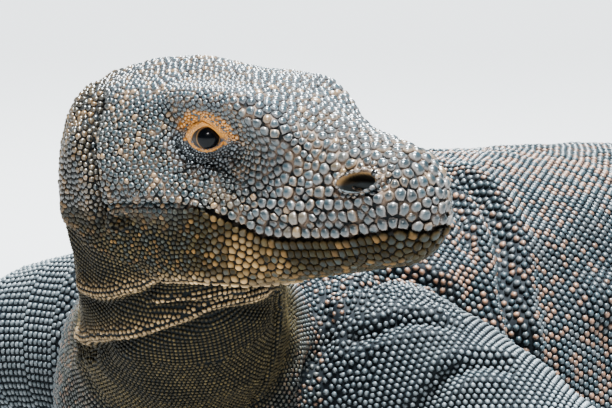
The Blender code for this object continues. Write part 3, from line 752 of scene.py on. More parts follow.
def spacing(spot):
    """Distance between neighbouring scales, in metres, at described places."""
    space = np.zeros(len(spot["along"]))
    for number, name in enumerate(AXIS_NAMES):
        here = spot["owner"] == number
        space[here] = np.interp(spot["along"][here], *np.array(AXIS_SPACING[name]).T)
    points = spot["point"]
    floor_side = smooth(0.030, 0.006, points[:, 2]) * (spot["owner"] == 0) * (spot["along"] > 0.28)
    space = space + BELLY_SPACING * floor_side
    space = np.where(spot["on_head"], head_spacing(spot["head"]), space)
    rolled = space * (1 + ROLL_SPACING * on_roll(points)[0])
    space = np.where(spot["along"] < NECK_END, rolled, space)
    for side in SIDES:
        _, reach, edge, _, _ = eye_angles(points, side)
        space = np.where(reach < LID_REACH, np.minimum(space, np.interp(edge, *LID_SPACING)), space)
    return space * MM


RING_PITCH = 0.87  # rings are this share of the spacing apart, because each nests in the last
RAY_SLACK = (1.32, 0.004)  # a ray may pass the axis' outline by this factor and this much more


def ring_rows(name, first, last, count):
    """Rays that leave an axis in rings, one row of scales a ring: origins, ways and how far to look."""
    axis = AXES[name]
    keys = np.array(AXIS_SPACING[name])
    run = lengths(axis["centre"])
    place = np.linspace(0, 1, len(run))
    origins, ways, limits = [], [], []
    at, row = first, 0
    while at < last:
        gap = np.interp(at, *keys.T) * MM
        centre, side, up, (wide, tall) = (
            rows_at(at, place, axis[key])[0] for key in ("centre", "side", "up", "half"))
        fine = np.linspace(0, 2 * np.pi, 181)
        outline = np.column_stack([wide * np.cos(fine), tall * np.sin(fine)])
        length = lengths(outline)
        number = count or max(6, round(length[-1] / gap))
        steps = (np.arange(number) + (0.5 if row % 2 and not count else 0)) / number * length[-1]
        turn = np.interp(steps, length, fine)
        way = side * (wide * np.cos(turn))[:, None] + up * (tall * np.sin(turn))[:, None]
        reach = np.linalg.norm(way, axis=1)
        origins.append(np.broadcast_to(centre, way.shape))
        ways.append(way / reach[:, None])
        limits.append(reach * RAY_SLACK[0] + RAY_SLACK[1])
        at = np.interp(np.interp(at, place, run) + gap * RING_PITCH, run, place)
        row += 1
    return np.concatenate(origins), np.concatenate(ways), np.concatenate(limits)


# Rows along the mouth: first and last place back, height over its line, all in head lengths, then
# the spacing in millimetres
LIP_ROWS = [(0.03, 0.62, 0.018, 5.6), (0.03, 0.62, 0.053, 5.8), (0.05, 0.62, 0.085, 5.8),
            (0.22, 0.60, 0.115, 6.2), (0.05, 0.62, -0.015, 4.4), (0.05, 0.62, -0.038, 4.2),
            (0.63, 0.91, 0.012, 4.4), (0.62, 0.92, 0.029, 4.6), (0.63, 0.90, 0.046, 4.2),
            (0.64, 0.90, -0.016, 3.0)]


def lip_rows(surface):
    """Rows of larger scales that follow the mouth above and below it, on both sides."""
    rows = []
    for first, last, height, gap in LIP_ROWS:
        backs = np.linspace(first, last, 160)
        level = np.interp(backs, *LIP_LINE) + height
        for sign in (1, -1):
            beside = np.full(len(backs), 0.5 * sign)
            start = from_head(np.column_stack([beside, backs - 0.5 * smooth(0.22, 0.0, backs), level]))
            goal = from_head(np.column_stack([0 * backs, np.maximum(backs, 0.16), level]))
            found = surface.cast(start, unit(goal - start), np.full(len(backs), 0.3))
            rows.append(beads_along(found, gap, 0.25))
    return np.concatenate(rows)


# The strings of beads on a roll: height over its crest and spacing in millimetres, and where it starts
ROLL_STRINGS = [(0, 2.8, 0), (2.7, 2.8, 0.5), (-2.4, 2.8, 0.5)]


def fold_rows(surface):
    """Strings of beads along the crest of each roll of the neck."""
    rows = []
    for line, _, _ in NECK_CRESTS:
        for height, gap, offset in ROLL_STRINGS:
            path = through(line, np.linspace(0, len(line) - 1, 300)) + (0, 0, height * MM)
            rows.append(beads_along(surface.nearest(path)[0], gap, offset))
    return surface.nearest(np.concatenate(rows))[0]


# The rings of granules round an eye: place outside the opening and spacing in millimetres
EYE_RINGS = [(1.50, 1.5), (1.66, 1.6), (1.86, 1.8), (2.08, 2.0), (2.32, 2.2), (2.58, 2.3), (2.86, 2.4)]


def eye_rows(surface):
    """Rings of granules round each eye's opening."""
    rows = []
    for side in SIDES:
        look, up, back = eye_ways(side)
        for edge, gap in EYE_RINGS:
            turn = np.linspace(0, 2 * np.pi, 400, endpoint=False)
            room = np.where(np.sin(turn) > 0, LID_ROOM[1], LID_ROOM[2])
            x, y = np.abs(np.cos(turn)) / LID_ROOM[0], np.abs(np.sin(turn)) / room
            angle = np.radians(np.minimum(edge / (x**LID_POWER + y**LID_POWER) ** (1 / LID_POWER), 100))
            out = back * np.cos(turn)[:, None] + up * np.sin(turn)[:, None]
            ring = look * np.cos(angle)[:, None] + out * np.sin(angle)[:, None]
            centre = np.broadcast_to(np.array(eye_centre(side)), ring.shape)
            rows.append(beads_along(surface.cast(centre, ring, np.full(len(ring), 0.030)), gap))
    return np.concatenate(rows)


def scattered(mesh, wanted, count, seed):
    """Random places on the skin, even by area, where `wanted` holds for the face."""
    mesh.calc_loop_triangles()
    corners = np.empty(len(mesh.loop_triangles) * 3, np.int32)
    mesh.loop_triangles.foreach_get("vertices", corners)
    corners = read(mesh)[corners.reshape(-1, 3)]
    corners = corners[wanted(corners.mean(1))]
    first, second = corners[:, 1] - corners[:, 0], corners[:, 2] - corners[:, 0]
    area = np.linalg.norm(np.cross(first, second), axis=1)
    rng = np.random.default_rng(seed)
    picked = rng.choice(len(area), count, p=area / area.sum())
    u, v = rng.random((2, count))
    flip = u + v > 1
    u, v = np.where(flip, 1 - u, u), np.where(flip, 1 - v, v)
    return corners[picked, 0] + u[:, None] * first[picked] + v[:, None] * second[picked]


def kd_tree(points):
    tree = KDTree(len(points))
    for i, point in enumerate(points.tolist()):
        tree.insert(point, i)
    tree.balance()
    return tree


def thin_out(points, spaces, share):
    """Keeps each point, in order, that no earlier one comes closer to than `share` of the spacing."""
    tree = kd_tree(points)
    state = np.zeros(len(points), np.int8)
    for i, (point, space) in enumerate(zip(points.tolist(), spaces.tolist())):
        if state[i] == 0:
            state[i] = 1
            for _, j, _ in tree.find_range(point, space * share):
                if state[j] == 0:
                    state[j] = 2
    return state == 1


def neighbours(points, count):
    tree = kd_tree(points)
    return np.array([[hit[1] for hit in tree.find_n(point, count + 1)][1:] for point in points.tolist()])


PUSH = 0.42  # the share of an overlap that a scale gives way in one round
SEED_SLACK = 0.15  # how much of that a scale of a seeded row does


def relax(points, spaces, fixed, surface, rounds):
    """Lets scales push each other apart along the skin."""
    for _ in range(rounds):
        near = neighbours(points, 7)
        away = points[:, None] - points[near]
        gap = np.maximum(np.linalg.norm(away, axis=2), 1e-9)
        room = (spaces[:, None] + spaces[near]) / 2
        push = np.clip(1.04 - gap / room, 0, 1) * room * PUSH
        move = (away / gap[..., None] * push[..., None]).sum(1)
        move[fixed] *= SEED_SLACK
        points = surface.nearest(points + move)[0]
    return points


def clear_of_gaps(points):
    """False on the nostrils' bare rims, between the lids and in the closed line of the mouth."""
    head = to_head(points)
    in_mouth = (mouth_distance(head)[0] < 1.1 * MM) & (head[:, 1] < 0.64) & (np.abs(head[:, 0]) < 0.3)
    outside_lids = lid_edge(points, 0.03) > 1.02
    return (nostril_distance(head)[0] > 1.42) & ~(in_mouth & describe(points)["on_head"]) & outside_lids


# Rings of scales: axis, first and last place along it, and each ring's number, or None for the spacing's
RINGS = [("spine", 0.06, 0.19, 150), *((limb, 0.14, 0.74, None) for limb in LIMBS),
         ("spine", 0.19, 0.999, None)]
# Scattered scales that fill in between: how many are tried on the whole skin, on the head and by the eyes
TRIES, HEAD_TRIES, LID_TRIES = 420000, 120000, 14000
LEAST_GAP = 0.80  # no two scales start closer than this share of their spacing


def place_scales(surface):
    """Every scale's root: seeded rows first, then scattered ones where a gap is left."""
    seeds = [lip_rows(surface), eye_rows(surface), fold_rows(surface)]
    rings = np.concatenate([surface.cast(*ring_rows(*ring)) for ring in RINGS])
    rings = rings[~describe(rings)["on_head"]]
    filling = scattered(surface.mesh, lambda at: np.ones(len(at), bool), TRIES, SCALE_SEED)
    on_head = scattered(surface.mesh, lambda at: describe(at)["on_head"], HEAD_TRIES, SCALE_SEED + 1)
    lids = scattered(surface.mesh, lambda at: near_eye(at, 0.024), LID_TRIES, SCALE_SEED + 2)
    points = np.concatenate([*seeds, lids, on_head, rings, filling])
    points = points[clear_of_gaps(points)]
    seeded = sum(len(rows) for rows in seeds)
    spaces = spacing(describe(points))
    keep = thin_out(points, spaces, LEAST_GAP)
    fixed = (np.arange(len(points)) < seeded)[keep]
    points, spaces = points[keep], spaces[keep]
    points = relax(points, spaces, fixed, surface, 5)
    return points[clear_of_gaps(points)]


# ---------------------------------------------------------------- markings
# Linear colours: the gap between scales, a scale's edge and its crown
SNOUT = ((0.003, 0.005, 0.006), (0.228, 0.206, 0.190), (0.016, 0.038, 0.049))
CROWN = ((0.006, 0.009, 0.011), (0.150, 0.152, 0.156), (0.026, 0.050, 0.062))
CHEEK = ((0.002, 0.004, 0.005), (0.128, 0.126, 0.118), (0.011, 0.027, 0.034))
JAW = ((0.003, 0.003, 0.002), (0.058, 0.038, 0.012), (0.026, 0.024, 0.010))
NECK = ((0.001, 0.004, 0.005), (0.010, 0.013, 0.009), (0.115, 0.082, 0.032))
NAPE = ((0.003, 0.004, 0.004), (0.070, 0.054, 0.034), (0.145, 0.112, 0.072))
TRUNK = ((0.002, 0.005, 0.008), (0.026, 0.045, 0.054), (0.105, 0.108, 0.110))
LIMB = ((0.002, 0.006, 0.009), (0.060, 0.094, 0.110), (0.440, 0.480, 0.500))
FOOT = ((0.012, 0.014, 0.015), (0.080, 0.082, 0.080), (0.170, 0.170, 0.162))
BELLY = ((0.030, 0.026, 0.020), (0.200, 0.165, 0.120), (0.300, 0.250, 0.180))
LID = ((0.300, 0.120, 0.022), (0.500, 0.225, 0.050), (0.620, 0.295, 0.078))
UNDER_LID = ((0.006, 0.009, 0.011), (0.060, 0.066, 0.072), (0.170, 0.190, 0.205))
INNER_LID = ((0.075, 0.095, 0.115),) * 3
PALE = (0.400, 0.255, 0.110)
RIM_TAN = (0.420, 0.250, 0.110)
ORANGE = (0.470, 0.215, 0.095)
CREST = (0.560, 0.390, 0.210)
GAP_TAN = (0.270, 0.195, 0.145)
NOSTRIL_HIGH = (0.270, 0.165, 0.075)
NOSTRIL_LOW = (0.090, 0.105, 0.110)
# painted shade inside each nostril's hole
NOSTRIL_HOLE_SHADE = (0.012, 0.009, 0.004)
AMBER = (0.210, 0.115, 0.036)
SLATE = (0.045, 0.058, 0.056)
DARK = (0.040, 0.062, 0.072)
# Paler places: on the head's left half, width in head lengths and strength
BRIGHT_PATCHES = [((0.168, 0.505, -0.125), 0.055, 0.90), ((0.145, 0.430, -0.148), 0.045, 0.85),
                  ((0.135, 0.335, -0.005), 0.020, 0.8), ((0.150, 0.345, -0.045), 0.018, 0.8),
                  ((0.185, 0.545, -0.005), 0.034, 0.45), ((0.122, 0.225, 0.128), 0.026, 0.75)]


def blend(tones, zone, weight):
    """Lays a zone's three tones over the rest, by a weight for each place."""
    return [mix(tone, colour, weight) for tone, colour in zip(tones, zone)]


def another(chance, factor):
    """Another random number for each place, from its first one."""
    return np.modf(chance * factor)[0]


def lay_body(spot, neck):
    """Tones of the trunk, limbs, feet, tail, belly and neck."""
    along, limb, spine = spot["along"], spot["owner"] > 0, (spot["owner"] == 0).astype(float)
    tones = [np.tile(colour, (len(along), 1)) for colour in TRUNK]
    tones = blend(tones, LIMB, limb * smooth(0.05, 0.45, along))
    tones = blend(tones, FOOT, limb * smooth(0.62, 0.85, along))
    tones = blend(tones, FOOT, 0.8 * spine * smooth(0.58, 0.80, along))
    low = smooth(0.045, 0.012, spot["point"][:, 2])
    tones = blend(tones, BELLY, 0.8 * low * spine * (along > 0.28))
    return blend(tones, NECK, neck * (1 - 0.8 * smooth(0.15, 0.85, np.sin(spot["turn"]))))


def lay_head(tones, spot, chance):
    """Lays the cheek, snout, crown and nape over the body's tones."""
    head, on_head = spot["head"], spot["on_head"].astype(float)
    nape = smooth(0.98, 1.10, head[:, 1]) * smooth(-0.20, -0.02, head[:, 2])
    nape = nape * (np.abs(head[:, 0]) < 0.4) * (spot["along"] < 0.3)
    tones = blend(tones, CHEEK, on_head)
    tones = blend(tones, SNOUT, on_head * smooth(0.56, 0.40, head[:, 1]))
    tones = blend(tones, CROWN, on_head * smooth(0.17, 0.26, head[:, 2]))
    slit, _ = line_distance(mirrored(head), np.array(EAR_SLIT) + (0, 0.045, 0))
    return blend(tones, NAPE, np.maximum(nape, bell(slit, 0.050) * (chance > 0.3)))


def jaw_share(spot, chance, patch, rear):
    """How much of each place is below the mouth, with a ragged border behind its corner."""
    head = spot["head"]
    ragged = (0.014 * patch + 0.010 * (chance - 0.5)) * rear
    drop = np.interp(head[:, 1], *LIP_LINE) - head[:, 2] + ragged
    sharp, soft = smooth(-0.01, 0.012, drop), smooth(-0.01, 0.075, drop)
    return spot["on_head"] * (sharp + (soft - sharp) * rear) * smooth(1.08, 0.96, head[:, 1])


def fleck_head(tones, spot, chance, jaw, rear):
    """Odd scales of slate and amber on the jaw and of tan above it, and pale skin between some scales."""
    gap, edge, crown = tones
    odd = another(chance, 17.3)
    upper = spot["on_head"] * (1 - jaw)
    crown = mix(crown, SLATE, 0.8 * jaw * (odd < 0.30))
    crown = mix(crown, AMBER, 0.8 * jaw * (odd > 0.80))
    crown = mix(crown, RIM_TAN, 0.5 * upper * (odd > 0.965 - 0.07 * rear))
    edge = mix(edge, RIM_TAN, 0.35 * upper * (odd > 0.70))
    pale = upper * smooth(-0.1, 0.7, waves(spot["point"], 0.012, 23)) * smooth(0.95, 0.75, spot["head"][:, 1])
    return [mix(gap, GAP_TAN, 0.75 * pale), edge, crown]


def lay_lids(tones, points, chance, patch):
    """Lays the lids' tones round each eye. Also returns the painted shade in the creases under it: how far
    each place darkens.
    """
    crease_shade = 1
    for side in SIDES:
        _, reach, edge, up, back = eye_angles(points, side)
        near = reach < LID_REACH
        # painted shade: each crease between the wrinkles under the eye is darkened
        crease_shade = crease_shade * (1 - 0.75 * near * np.maximum(-lid_rings(edge, up), 0))
        tones = blend(tones, UNDER_LID, near * smooth(4.6, 2.6, edge) * smooth(0.5, 0.0, up))
        above = smooth(3.3, 2.5, edge + 0.5 * patch) * smooth(-0.05, 0.30, up - 0.25 * back)
        roll = smooth(1.52, 1.44, edge) * np.where(up > -0.1, 1, smooth(1.30, 1.24, edge))
        tones = blend(tones, LID, near * np.maximum(above * (chance > 0.24), roll))
        tones = blend(tones, INNER_LID, near * smooth(1.10, 1.02, edge) * smooth(0.1, -0.2, up))
    return tones, crease_shade


def lay_nostrils(gap, crown, spot):
    """A bare rim round each nostril, tan above it, and painted shade in its hole."""
    ring, across = nostril_distance(spot["head"])
    on_head = spot["on_head"]
    tan = 0.6 * on_head * smooth(2.1, 1.7, ring) * smooth(-2 * MM, 1 * MM, across)
    bare = smooth(1.55, 1.38, ring) * on_head
    gap = mix(gap, NOSTRIL_LOW, bare)
    gap = mix(gap, NOSTRIL_HIGH, bare * smooth(-1.5 * MM, 1 * MM, across))
    # the nostril's hole is darkened here as painted shade
    return mix(gap, NOSTRIL_HOLE_SHADE, smooth(1.26, 1.02, ring) * on_head), mix(crown, RIM_TAN, tan)


def brightness(spot, chance, broad):
    """How bright each place's scale is: by chance, and less on the tail, the limbs' ends and the nape."""
    along, owner = spot["along"], spot["owner"]
    spine = (owner == 0).astype(float)
    level = 0.66 + 0.62 * another(chance, 7.31) + 0.10 * broad
    limb_end = 0.45 * (owner > 0) * smooth(0.45, 0.75, along)
    haunch = 0.30 * (owner > 2) * smooth(0.7, 0.4, along)
    nape = 0.45 * smooth(0.88, 0.98, spot["head"][:, 1]) * (along < 0.22) * spine
    return level * (1 - limb_end - haunch) * (1 - 0.35 * spine * smooth(0.45, 0.75, along)) * (1 - nape)


def markings(spot, chance):
    """Gap, edge and crown colours at described places. `chance` is a random number for each."""
    points, head, along, owner = (spot[key] for key in ("point", "head", "along", "owner"))
    on_head, spine = spot["on_head"].astype(float), (owner == 0).astype(float)
    patch, broad = waves(points, 0.045, 21), waves(points, 0.16, 22)
    neck = spine * smooth(0.34, 0.27, along) * (1 - on_head)
    rear = smooth(0.60, 0.72, head[:, 1])
    jaw = jaw_share(spot, chance, patch, rear)
    tones = lay_head(lay_body(spot, neck), spot, chance)
    tones = blend(blend(tones, JAW, jaw), NECK, 0.85 * jaw * rear)
    tones = fleck_head(tones, spot, chance, jaw, rear)
    (gap, edge, crown), crease_shade = lay_lids(tones, points, chance, patch)
    for place, size, strength in BRIGHT_PATCHES:
        close = bell(np.linalg.norm(mirrored(head) - place, axis=1), size) * strength * on_head
        crown = mix(crown, PALE, close * (chance > 0.25))
        edge = mix(edge, np.array(PALE) * 0.6, close)
    body = (1 - on_head) * (1 - neck)
    crown = mix(crown, ORANGE, 0.62 * body * spine * (chance < 0.30 + 0.10 * broad) * (along < 0.60))
    crown = mix(crown, DARK, body * (chance > 0.62 - 0.10 * patch) * np.where(owner == 0, 0.72, 0.25))
    # the creases under the eyes are darkened here as painted shade
    level = brightness(spot, chance, broad) * crease_shade * (1 - 0.18 * jaw * rear)
    level *= np.where(neck + jaw > 0.4, 0.55 + 0.85 * another(chance, 3.77), 1)
    gap, crown = lay_nostrils(gap, crown, spot)
    crest, foot = on_roll(points) * (along < NECK_END)
    crown = mix(crown, CREST, 0.95 * np.minimum(1.3 * crest, 1))
    edge = mix(edge, CREST, 0.45 * crest)
    # painted shadow: the crease under each roll of the neck is darkened
    level *= 1 - 0.75 * foot * (1 - crest)
    return gap, edge * (0.6 + 0.4 * level[:, None]), crown * level[:, None]


# ---------------------------------------------------------------- scales
PATCH = 0.003  # each scale's width on its OFBake map
PLATE = ((1.00, -0.30), (0.90, 0.40), (0.60, 0.86))  # a ring's share of the radius and the height
BEAD = ((1.00, -0.30), (0.76, 0.66))
PLATE_TONES = (0.0, 1.0, 1.80)  # 0 gap, 1 edge, 2 crown, by ring; the top is 2
BEAD_TONES = (0.0, 1.35)
# Heights as shares of the radius. By the eyes they are lowered: places outside the opening, then shares
HEAD_RELIEF, BODY_RELIEF, FOOT_RELIEF = 0.74, 0.80, 0.55
LID_RELIEF = ((1.0, 1.5, 2.0), (0.35, 0.5, 1.0))


def cell_radii(points, normals, spaces, sides, lie):
    """How far each scale reaches in `sides` directions before it meets its neighbours."""
    near = neighbours(points, 9)
    ahead = unit(lie - normals * (lie * normals).sum(1)[:, None])
    across = np.cross(normals, ahead)
    offset = points[near] - points[:, None]
    x = (offset * ahead[:, None]).sum(2)
    y = (offset * across[:, None]).sum(2)
    gap = np.maximum(np.hypot(x, y), 1e-6)
    half = gap * spaces[:, None] / (spaces[:, None] + spaces[near])
    facing = (normals[near] * normals[:, None]).sum(2) > 0.1
    half = np.where(facing, half, 1)
    turn = np.arange(sides) / sides * 2 * np.pi
    toward = np.cos(turn[None, None] - np.arctan2(y, x)[..., None])
    limit = np.where(toward > 0.15, half[..., None] / np.maximum(toward, 0.15), 1).min(1)
    return np.minimum(limit, spaces[:, None] * 0.72), ahead, across


def mesh_of(name, vertices, faces):
    """A mesh from vertices and (count × corners) arrays of faces."""
    mesh = bpy.data.meshes.new(name)
    loops = np.concatenate([block.ravel() for block in faces])
    sizes = np.concatenate([np.full(len(block), block.shape[1]) for block in faces])
    mesh.vertices.add(len(vertices))
    mesh.loops.add(len(loops))
    mesh.polygons.add(len(sizes))
    mesh.vertices.foreach_set("co", vertices.astype(np.float32).ravel())
    mesh.loops.foreach_set("vertex_index", loops.astype(np.int32))
    starts = np.concatenate([[0], np.cumsum(sizes)[:-1]])
    mesh.polygons.foreach_set("loop_start", starts.astype(np.int32))
    mesh.update(calc_edges=True)
    mesh.polygons.foreach_set("use_smooth", np.ones(len(sizes), bool))
    return mesh, loops


def paint(mesh, colours):
    layer = mesh.color_attributes.new(name="tone", type="FLOAT_COLOR", domain="POINT")
    rgba = np.column_stack([colours, np.ones(len(colours))]).astype(np.float32)
    layer.data.foreach_set("color", rgba.ravel())


def scale_piece(name, group, rings, tones_by_ring):
    """One joined mesh of scales, painted, with its OFBake map."""
    roots, normals, radii, ahead, across, tall, tones, spread = group
    count, sides = radii.shape
    turn = np.arange(sides) / sides * 2 * np.pi
    layers, colours, flat = [], [], []
    for (share, height), tone in zip(rings, tones_by_ring):
        x = radii * share * np.cos(turn)
        y = radii * share * np.sin(turn)
        layers.append(
            roots[:, None] + ahead[:, None] * x[..., None] + across[:, None] * y[..., None]
            + normals[:, None] * (tall * height)[:, None, None]
        )
        start = 0 if tone <= 1 else 1
        shade = tones[start] + (tones[start + 1] - tones[start]) * (tone - start)
        colours.append(np.repeat(shade[:, None], sides, axis=1))
        reach = radii.max(1)[:, None]
        flat.append(np.stack([x / reach, y / reach], axis=2))
    top = roots + normals * tall[:, None] + ahead * (radii.mean(1) * 0.06)[:, None]
    vertices = np.concatenate([layer.reshape(-1, 3) for layer in layers] + [top])
    vertices[:, 2] = np.maximum(vertices[:, 2], FLOOR_GAP / 4)  # the lowest scales lie flat on the floor
    shades = np.concatenate([colour.reshape(-1, 3) for colour in colours] + [tones[2]])
    local = np.concatenate([part.reshape(-1, 2) for part in flat] + [np.zeros((count, 2))])
    owner = np.concatenate([np.repeat(np.arange(count), sides)] * len(rings) + [np.arange(count)])
    block = np.arange(count)[:, None] * sides + np.arange(sides)
    after = np.roll(block, -1, axis=1)
    faces = [
        np.stack([block + k * count * sides, after + k * count * sides,
                  after + (k + 1) * count * sides, block + (k + 1) * count * sides], axis=2).reshape(-1, 4)
        for k in range(len(rings) - 1)
    ]
    last = (len(rings) - 1) * count * sides
    crown = np.broadcast_to(len(rings) * count * sides + np.arange(count)[:, None], block.shape)
    faces.append(np.stack([block + last, after + last, crown], axis=2).reshape(-1, 3))
    faces.append(block[:, ::-1])
    mesh, loops = mesh_of(name, vertices, faces)
    paint(mesh, shades)
    low, high = spread.min(0), spread.max(0)
    middle = 0.02 + 0.96 * (spread - low) / (high - low)
    uv = middle[owner] + local * PATCH / 2
    layer = mesh.uv_layers.new(name="OFBake")
    layer.data.foreach_set("uv", uv[loops].astype(np.float32).ravel())
    return link(name, mesh)


def regions(spot):
    """Names the piece of coat that each scale belongs to."""
    head, along, owner = spot["head"], spot["along"], spot["owner"]
    left = np.where(spot["point"][:, 0] > SHIFT[0], "left", "right")
    head_left = np.where(head[:, 0] > 0, "left", "right")
    lip = np.interp(head[:, 1], *LIP_LINE)
    names = np.full(len(along), "scales_trunk_front_", dtype=object)
    names = np.where(along > 0.44, "scales_trunk_rear_", names) + left
    names = np.where(along > 0.585, "scales_tail_base", names)
    names = np.where(along > 0.75, "scales_tail_end", names)
    names = np.where(along < 0.29, "scales_neck_lower", names)
    names = np.where(along < 0.17, "scales_neck_upper", names)
    for number, name in enumerate(AXIS_NAMES[1:], 1):
        names = np.where(owner == number, f"scales_{name}", names)
    face = np.where(head[:, 1] < 0.45, "scales_snout_", "scales_cheek_") + head_left.astype(object)
    face = np.where((head[:, 2] > 0.20) & (head[:, 1] > 0.45), "scales_crown", face)
    face = np.where(head[:, 2] < lip, "scales_jaw", face)
    return np.where(spot["on_head"], face, names)


def make_scales(surface):
    points = place_scales(surface)
    _, normals = surface.nearest(points)
    spot = describe(points)
    spaces = spacing(spot)
    rng = np.random.default_rng(SCALE_SEED)
    chance = rng.random(len(points))
    tones = markings(spot, chance)
    names = regions(spot)
    head = spot["on_head"]
    lie = np.where(head[:, None], head_way((0, 1, 0)), np.array((0, 1.0, 0)))
    for number, name in enumerate(AXIS_NAMES):
        run = unit(np.gradient(AXES[name]["centre"], axis=0))
        here = (spot["owner"] == number) & ~head
        lie[here] = run[(spot["along"][here] * (len(run) - 1)).round().astype(int)]
    round_head = np.arctan2(spot["head"][:, 0], spot["head"][:, 2] - 0.03)
    spread = np.where(head[:, None], np.column_stack([spot["head"][:, 1], round_head]),
                      np.column_stack([spot["along"], spot["turn"]]))
    plate, ahead, across = cell_radii(points, normals, spaces, 8, lie)
    bead = cell_radii(points, normals, spaces, 6, lie)[0]
    on_foot = (spot["owner"] > 0) & (spot["along"] > 0.80)
    relief = np.where(head, HEAD_RELIEF, BODY_RELIEF)
    relief *= np.interp(lid_edge(points, LID_REACH), *LID_RELIEF)
    relief = np.where(on_foot, FOOT_RELIEF, relief)
    inset = np.where(head | on_foot, 0.970, 0.90)
    for name in sorted(set(names)):
        here = names == name
        face = any(word in name for word in ("snout", "crown", "cheek"))
        throat = "jaw" in name or "neck" in name
        plates = face or "jaw" in name
        radii = (plate if plates else bead)[here] * inset[here, None]
        tall = radii.mean(1) * relief[here] * (0.85 + 0.3 * chance[here])
        group = (points[here], normals[here], radii, ahead[here], across[here], tall,
                 [tone[here] for tone in tones], spread[here])
        piece = scale_piece(name, group, *((PLATE, PLATE_TONES) if plates else (BEAD, BEAD_TONES)))
        piece.data.materials.append(scale_finish("throat" if throat else "head" if face else "body"))
        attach(piece, "root")


# ---------------------------------------------------------------- finishes
class Nodes:
    """Short hands for one material's node tree."""

    def __init__(self, name):
        self.material = bpy.data.materials.new(name)
        self.material.use_nodes = True
        self.tree = self.material.node_tree
        self.shader = self.tree.nodes["Principled BSDF"]

    def add(self, kind, **values):
        node = self.tree.nodes.new(kind)
        for key, value in values.items():
            if key in node.inputs:
                node.inputs[key].default_value = value
            else:
                setattr(node, key, value)
        return node

    def join(self, source, target):
        self.tree.links.new(source, target)

    def noise(self, size, detail=3.0, rough=0.55):
        place = self.add("ShaderNodeTexCoord")
        noise = self.add("ShaderNodeTexNoise", Scale=1 / size, Detail=detail, Roughness=rough)
        self.join(place.outputs["Object"], noise.inputs["Vector"])
        return noise.outputs["Fac"]

    def range(self, value, low, high):
        node = self.add("ShaderNodeMapRange")
        node.inputs["To Min"].default_value = low
        node.inputs["To Max"].default_value = high
        self.join(value, node.inputs["Value"])
        return node.outputs["Result"]

    def bump(self, value, distance, strength=1.0):
        node = self.add("ShaderNodeBump")
        node.inputs["Distance"].default_value = distance
        node.inputs["Strength"].default_value = strength
        self.join(value, node.inputs["Height"])
        self.join(node.outputs["Normal"], self.shader.inputs["Normal"])

    def painted(self, mottle, dusty, dust_share):
        """The mesh's own tones, mottled by a fine noise and dulled by dust in a broad one."""
        tone = self.add("ShaderNodeVertexColor", layer_name="tone")
        level = self.range(mottle, 0.72, 1.28)
        shade = self.add("ShaderNodeVectorMath", operation="SCALE")
        self.join(tone.outputs["Color"], shade.inputs[0])
        self.join(level, shade.inputs["Scale"])
        dust = self.add("ShaderNodeMix", data_type="RGBA")
        self.join(self.range(dusty, -0.10, dust_share), dust.inputs["Factor"])
        self.join(shade.outputs["Vector"], dust.inputs["A"])
        dust.inputs["B"].default_value = (0.200, 0.165, 0.130, 1)
        self.join(dust.outputs["Result"], self.shader.inputs["Base Color"])


FINISHES = {}

# Each finish of scale: specular level, lowest and highest roughness, and the share of dust
SCALE_FINISHES = {"throat": (0.28, 0.45, 0.65, 0.04), "head": (1.0, 0.16, 0.30, 0.12),
                  "body": (0.55, 0.28, 0.46, 0.12)}


def scale_finish(kind):
    """Dry keratin, mottled and finely pitted, dullest on the throat and glossiest on the head."""
    if kind not in FINISHES:
        shine, low, high, dust = SCALE_FINISHES[kind]
        nodes = Nodes(kind + "_keratin")
        fine = nodes.noise(0.0011, 4.0, 0.65)
        nodes.painted(fine, nodes.noise(0.03), dust)
        nodes.join(nodes.range(nodes.noise(0.004), low, high), nodes.shader.inputs["Roughness"])
        nodes.bump(fine, 0.10 * MM, 0.6)
        nodes.shader.inputs["Specular IOR Level"].default_value = shine
        FINISHES[kind] = nodes.material
    return FINISHES[kind]


def skin_finish():
    nodes = Nodes("skin_between_scales")
    fine = nodes.noise(0.0008, 4.0, 0.6)
    nodes.painted(fine, nodes.noise(0.03), 0.06)
    nodes.shader.inputs["Specular IOR Level"].default_value = 0.3
    nodes.join(nodes.range(nodes.noise(0.003), 0.55, 0.80), nodes.shader.inputs["Roughness"])
    nodes.bump(fine, 0.12 * MM, 0.7)
    return nodes.material


def eye_finish():
    nodes = Nodes("eyeball")
    nodes.painted(nodes.noise(0.0006, 5.0, 0.7), nodes.noise(0.01), 0)
    nodes.shader.inputs["Roughness"].default_value = 0.25
    nodes.shader.inputs["Specular IOR Level"].default_value = 0.1
    nodes.shader.inputs["Coat Weight"].default_value = 0.30
    nodes.shader.inputs["Coat Roughness"].default_value = 0.09
    return nodes.material


def claw_finish():
    nodes = Nodes("claw_horn")
    place = nodes.add("ShaderNodeTexCoord")
    fit = nodes.add("ShaderNodeMapping")
    fit.inputs["Scale"].default_value = (1, 1, 6)
    nodes.join(place.outputs["Object"], fit.inputs["Vector"])
    streak = nodes.add("ShaderNodeTexNoise", Scale=420, Detail=4.0)
    nodes.join(fit.outputs["Vector"], streak.inputs["Vector"])
    nodes.painted(streak.outputs["Fac"], nodes.noise(0.01), 0.1)
    nodes.join(nodes.range(streak.outputs["Fac"], 0.28, 0.50), nodes.shader.inputs["Roughness"])
    nodes.bump(streak.outputs["Fac"], 0.15 * MM, 0.5)
    return nodes.material


# ---------------------------------------------------------------- eyes and claws
EYE_TONES = [
    (0, (0.002, 0.003, 0.005)), (28, (0.003, 0.004, 0.006)), (30, (0.020, 0.013, 0.008)),
    (31.5, (0.090, 0.050, 0.020)), (33.0, (0.260, 0.150, 0.070)), (34.5, (0.045, 0.036, 0.030)),
    (44, (0.070, 0.060, 0.054)), (90, (0.050, 0.040, 0.036)),
]  # degrees from the middle of the pupil


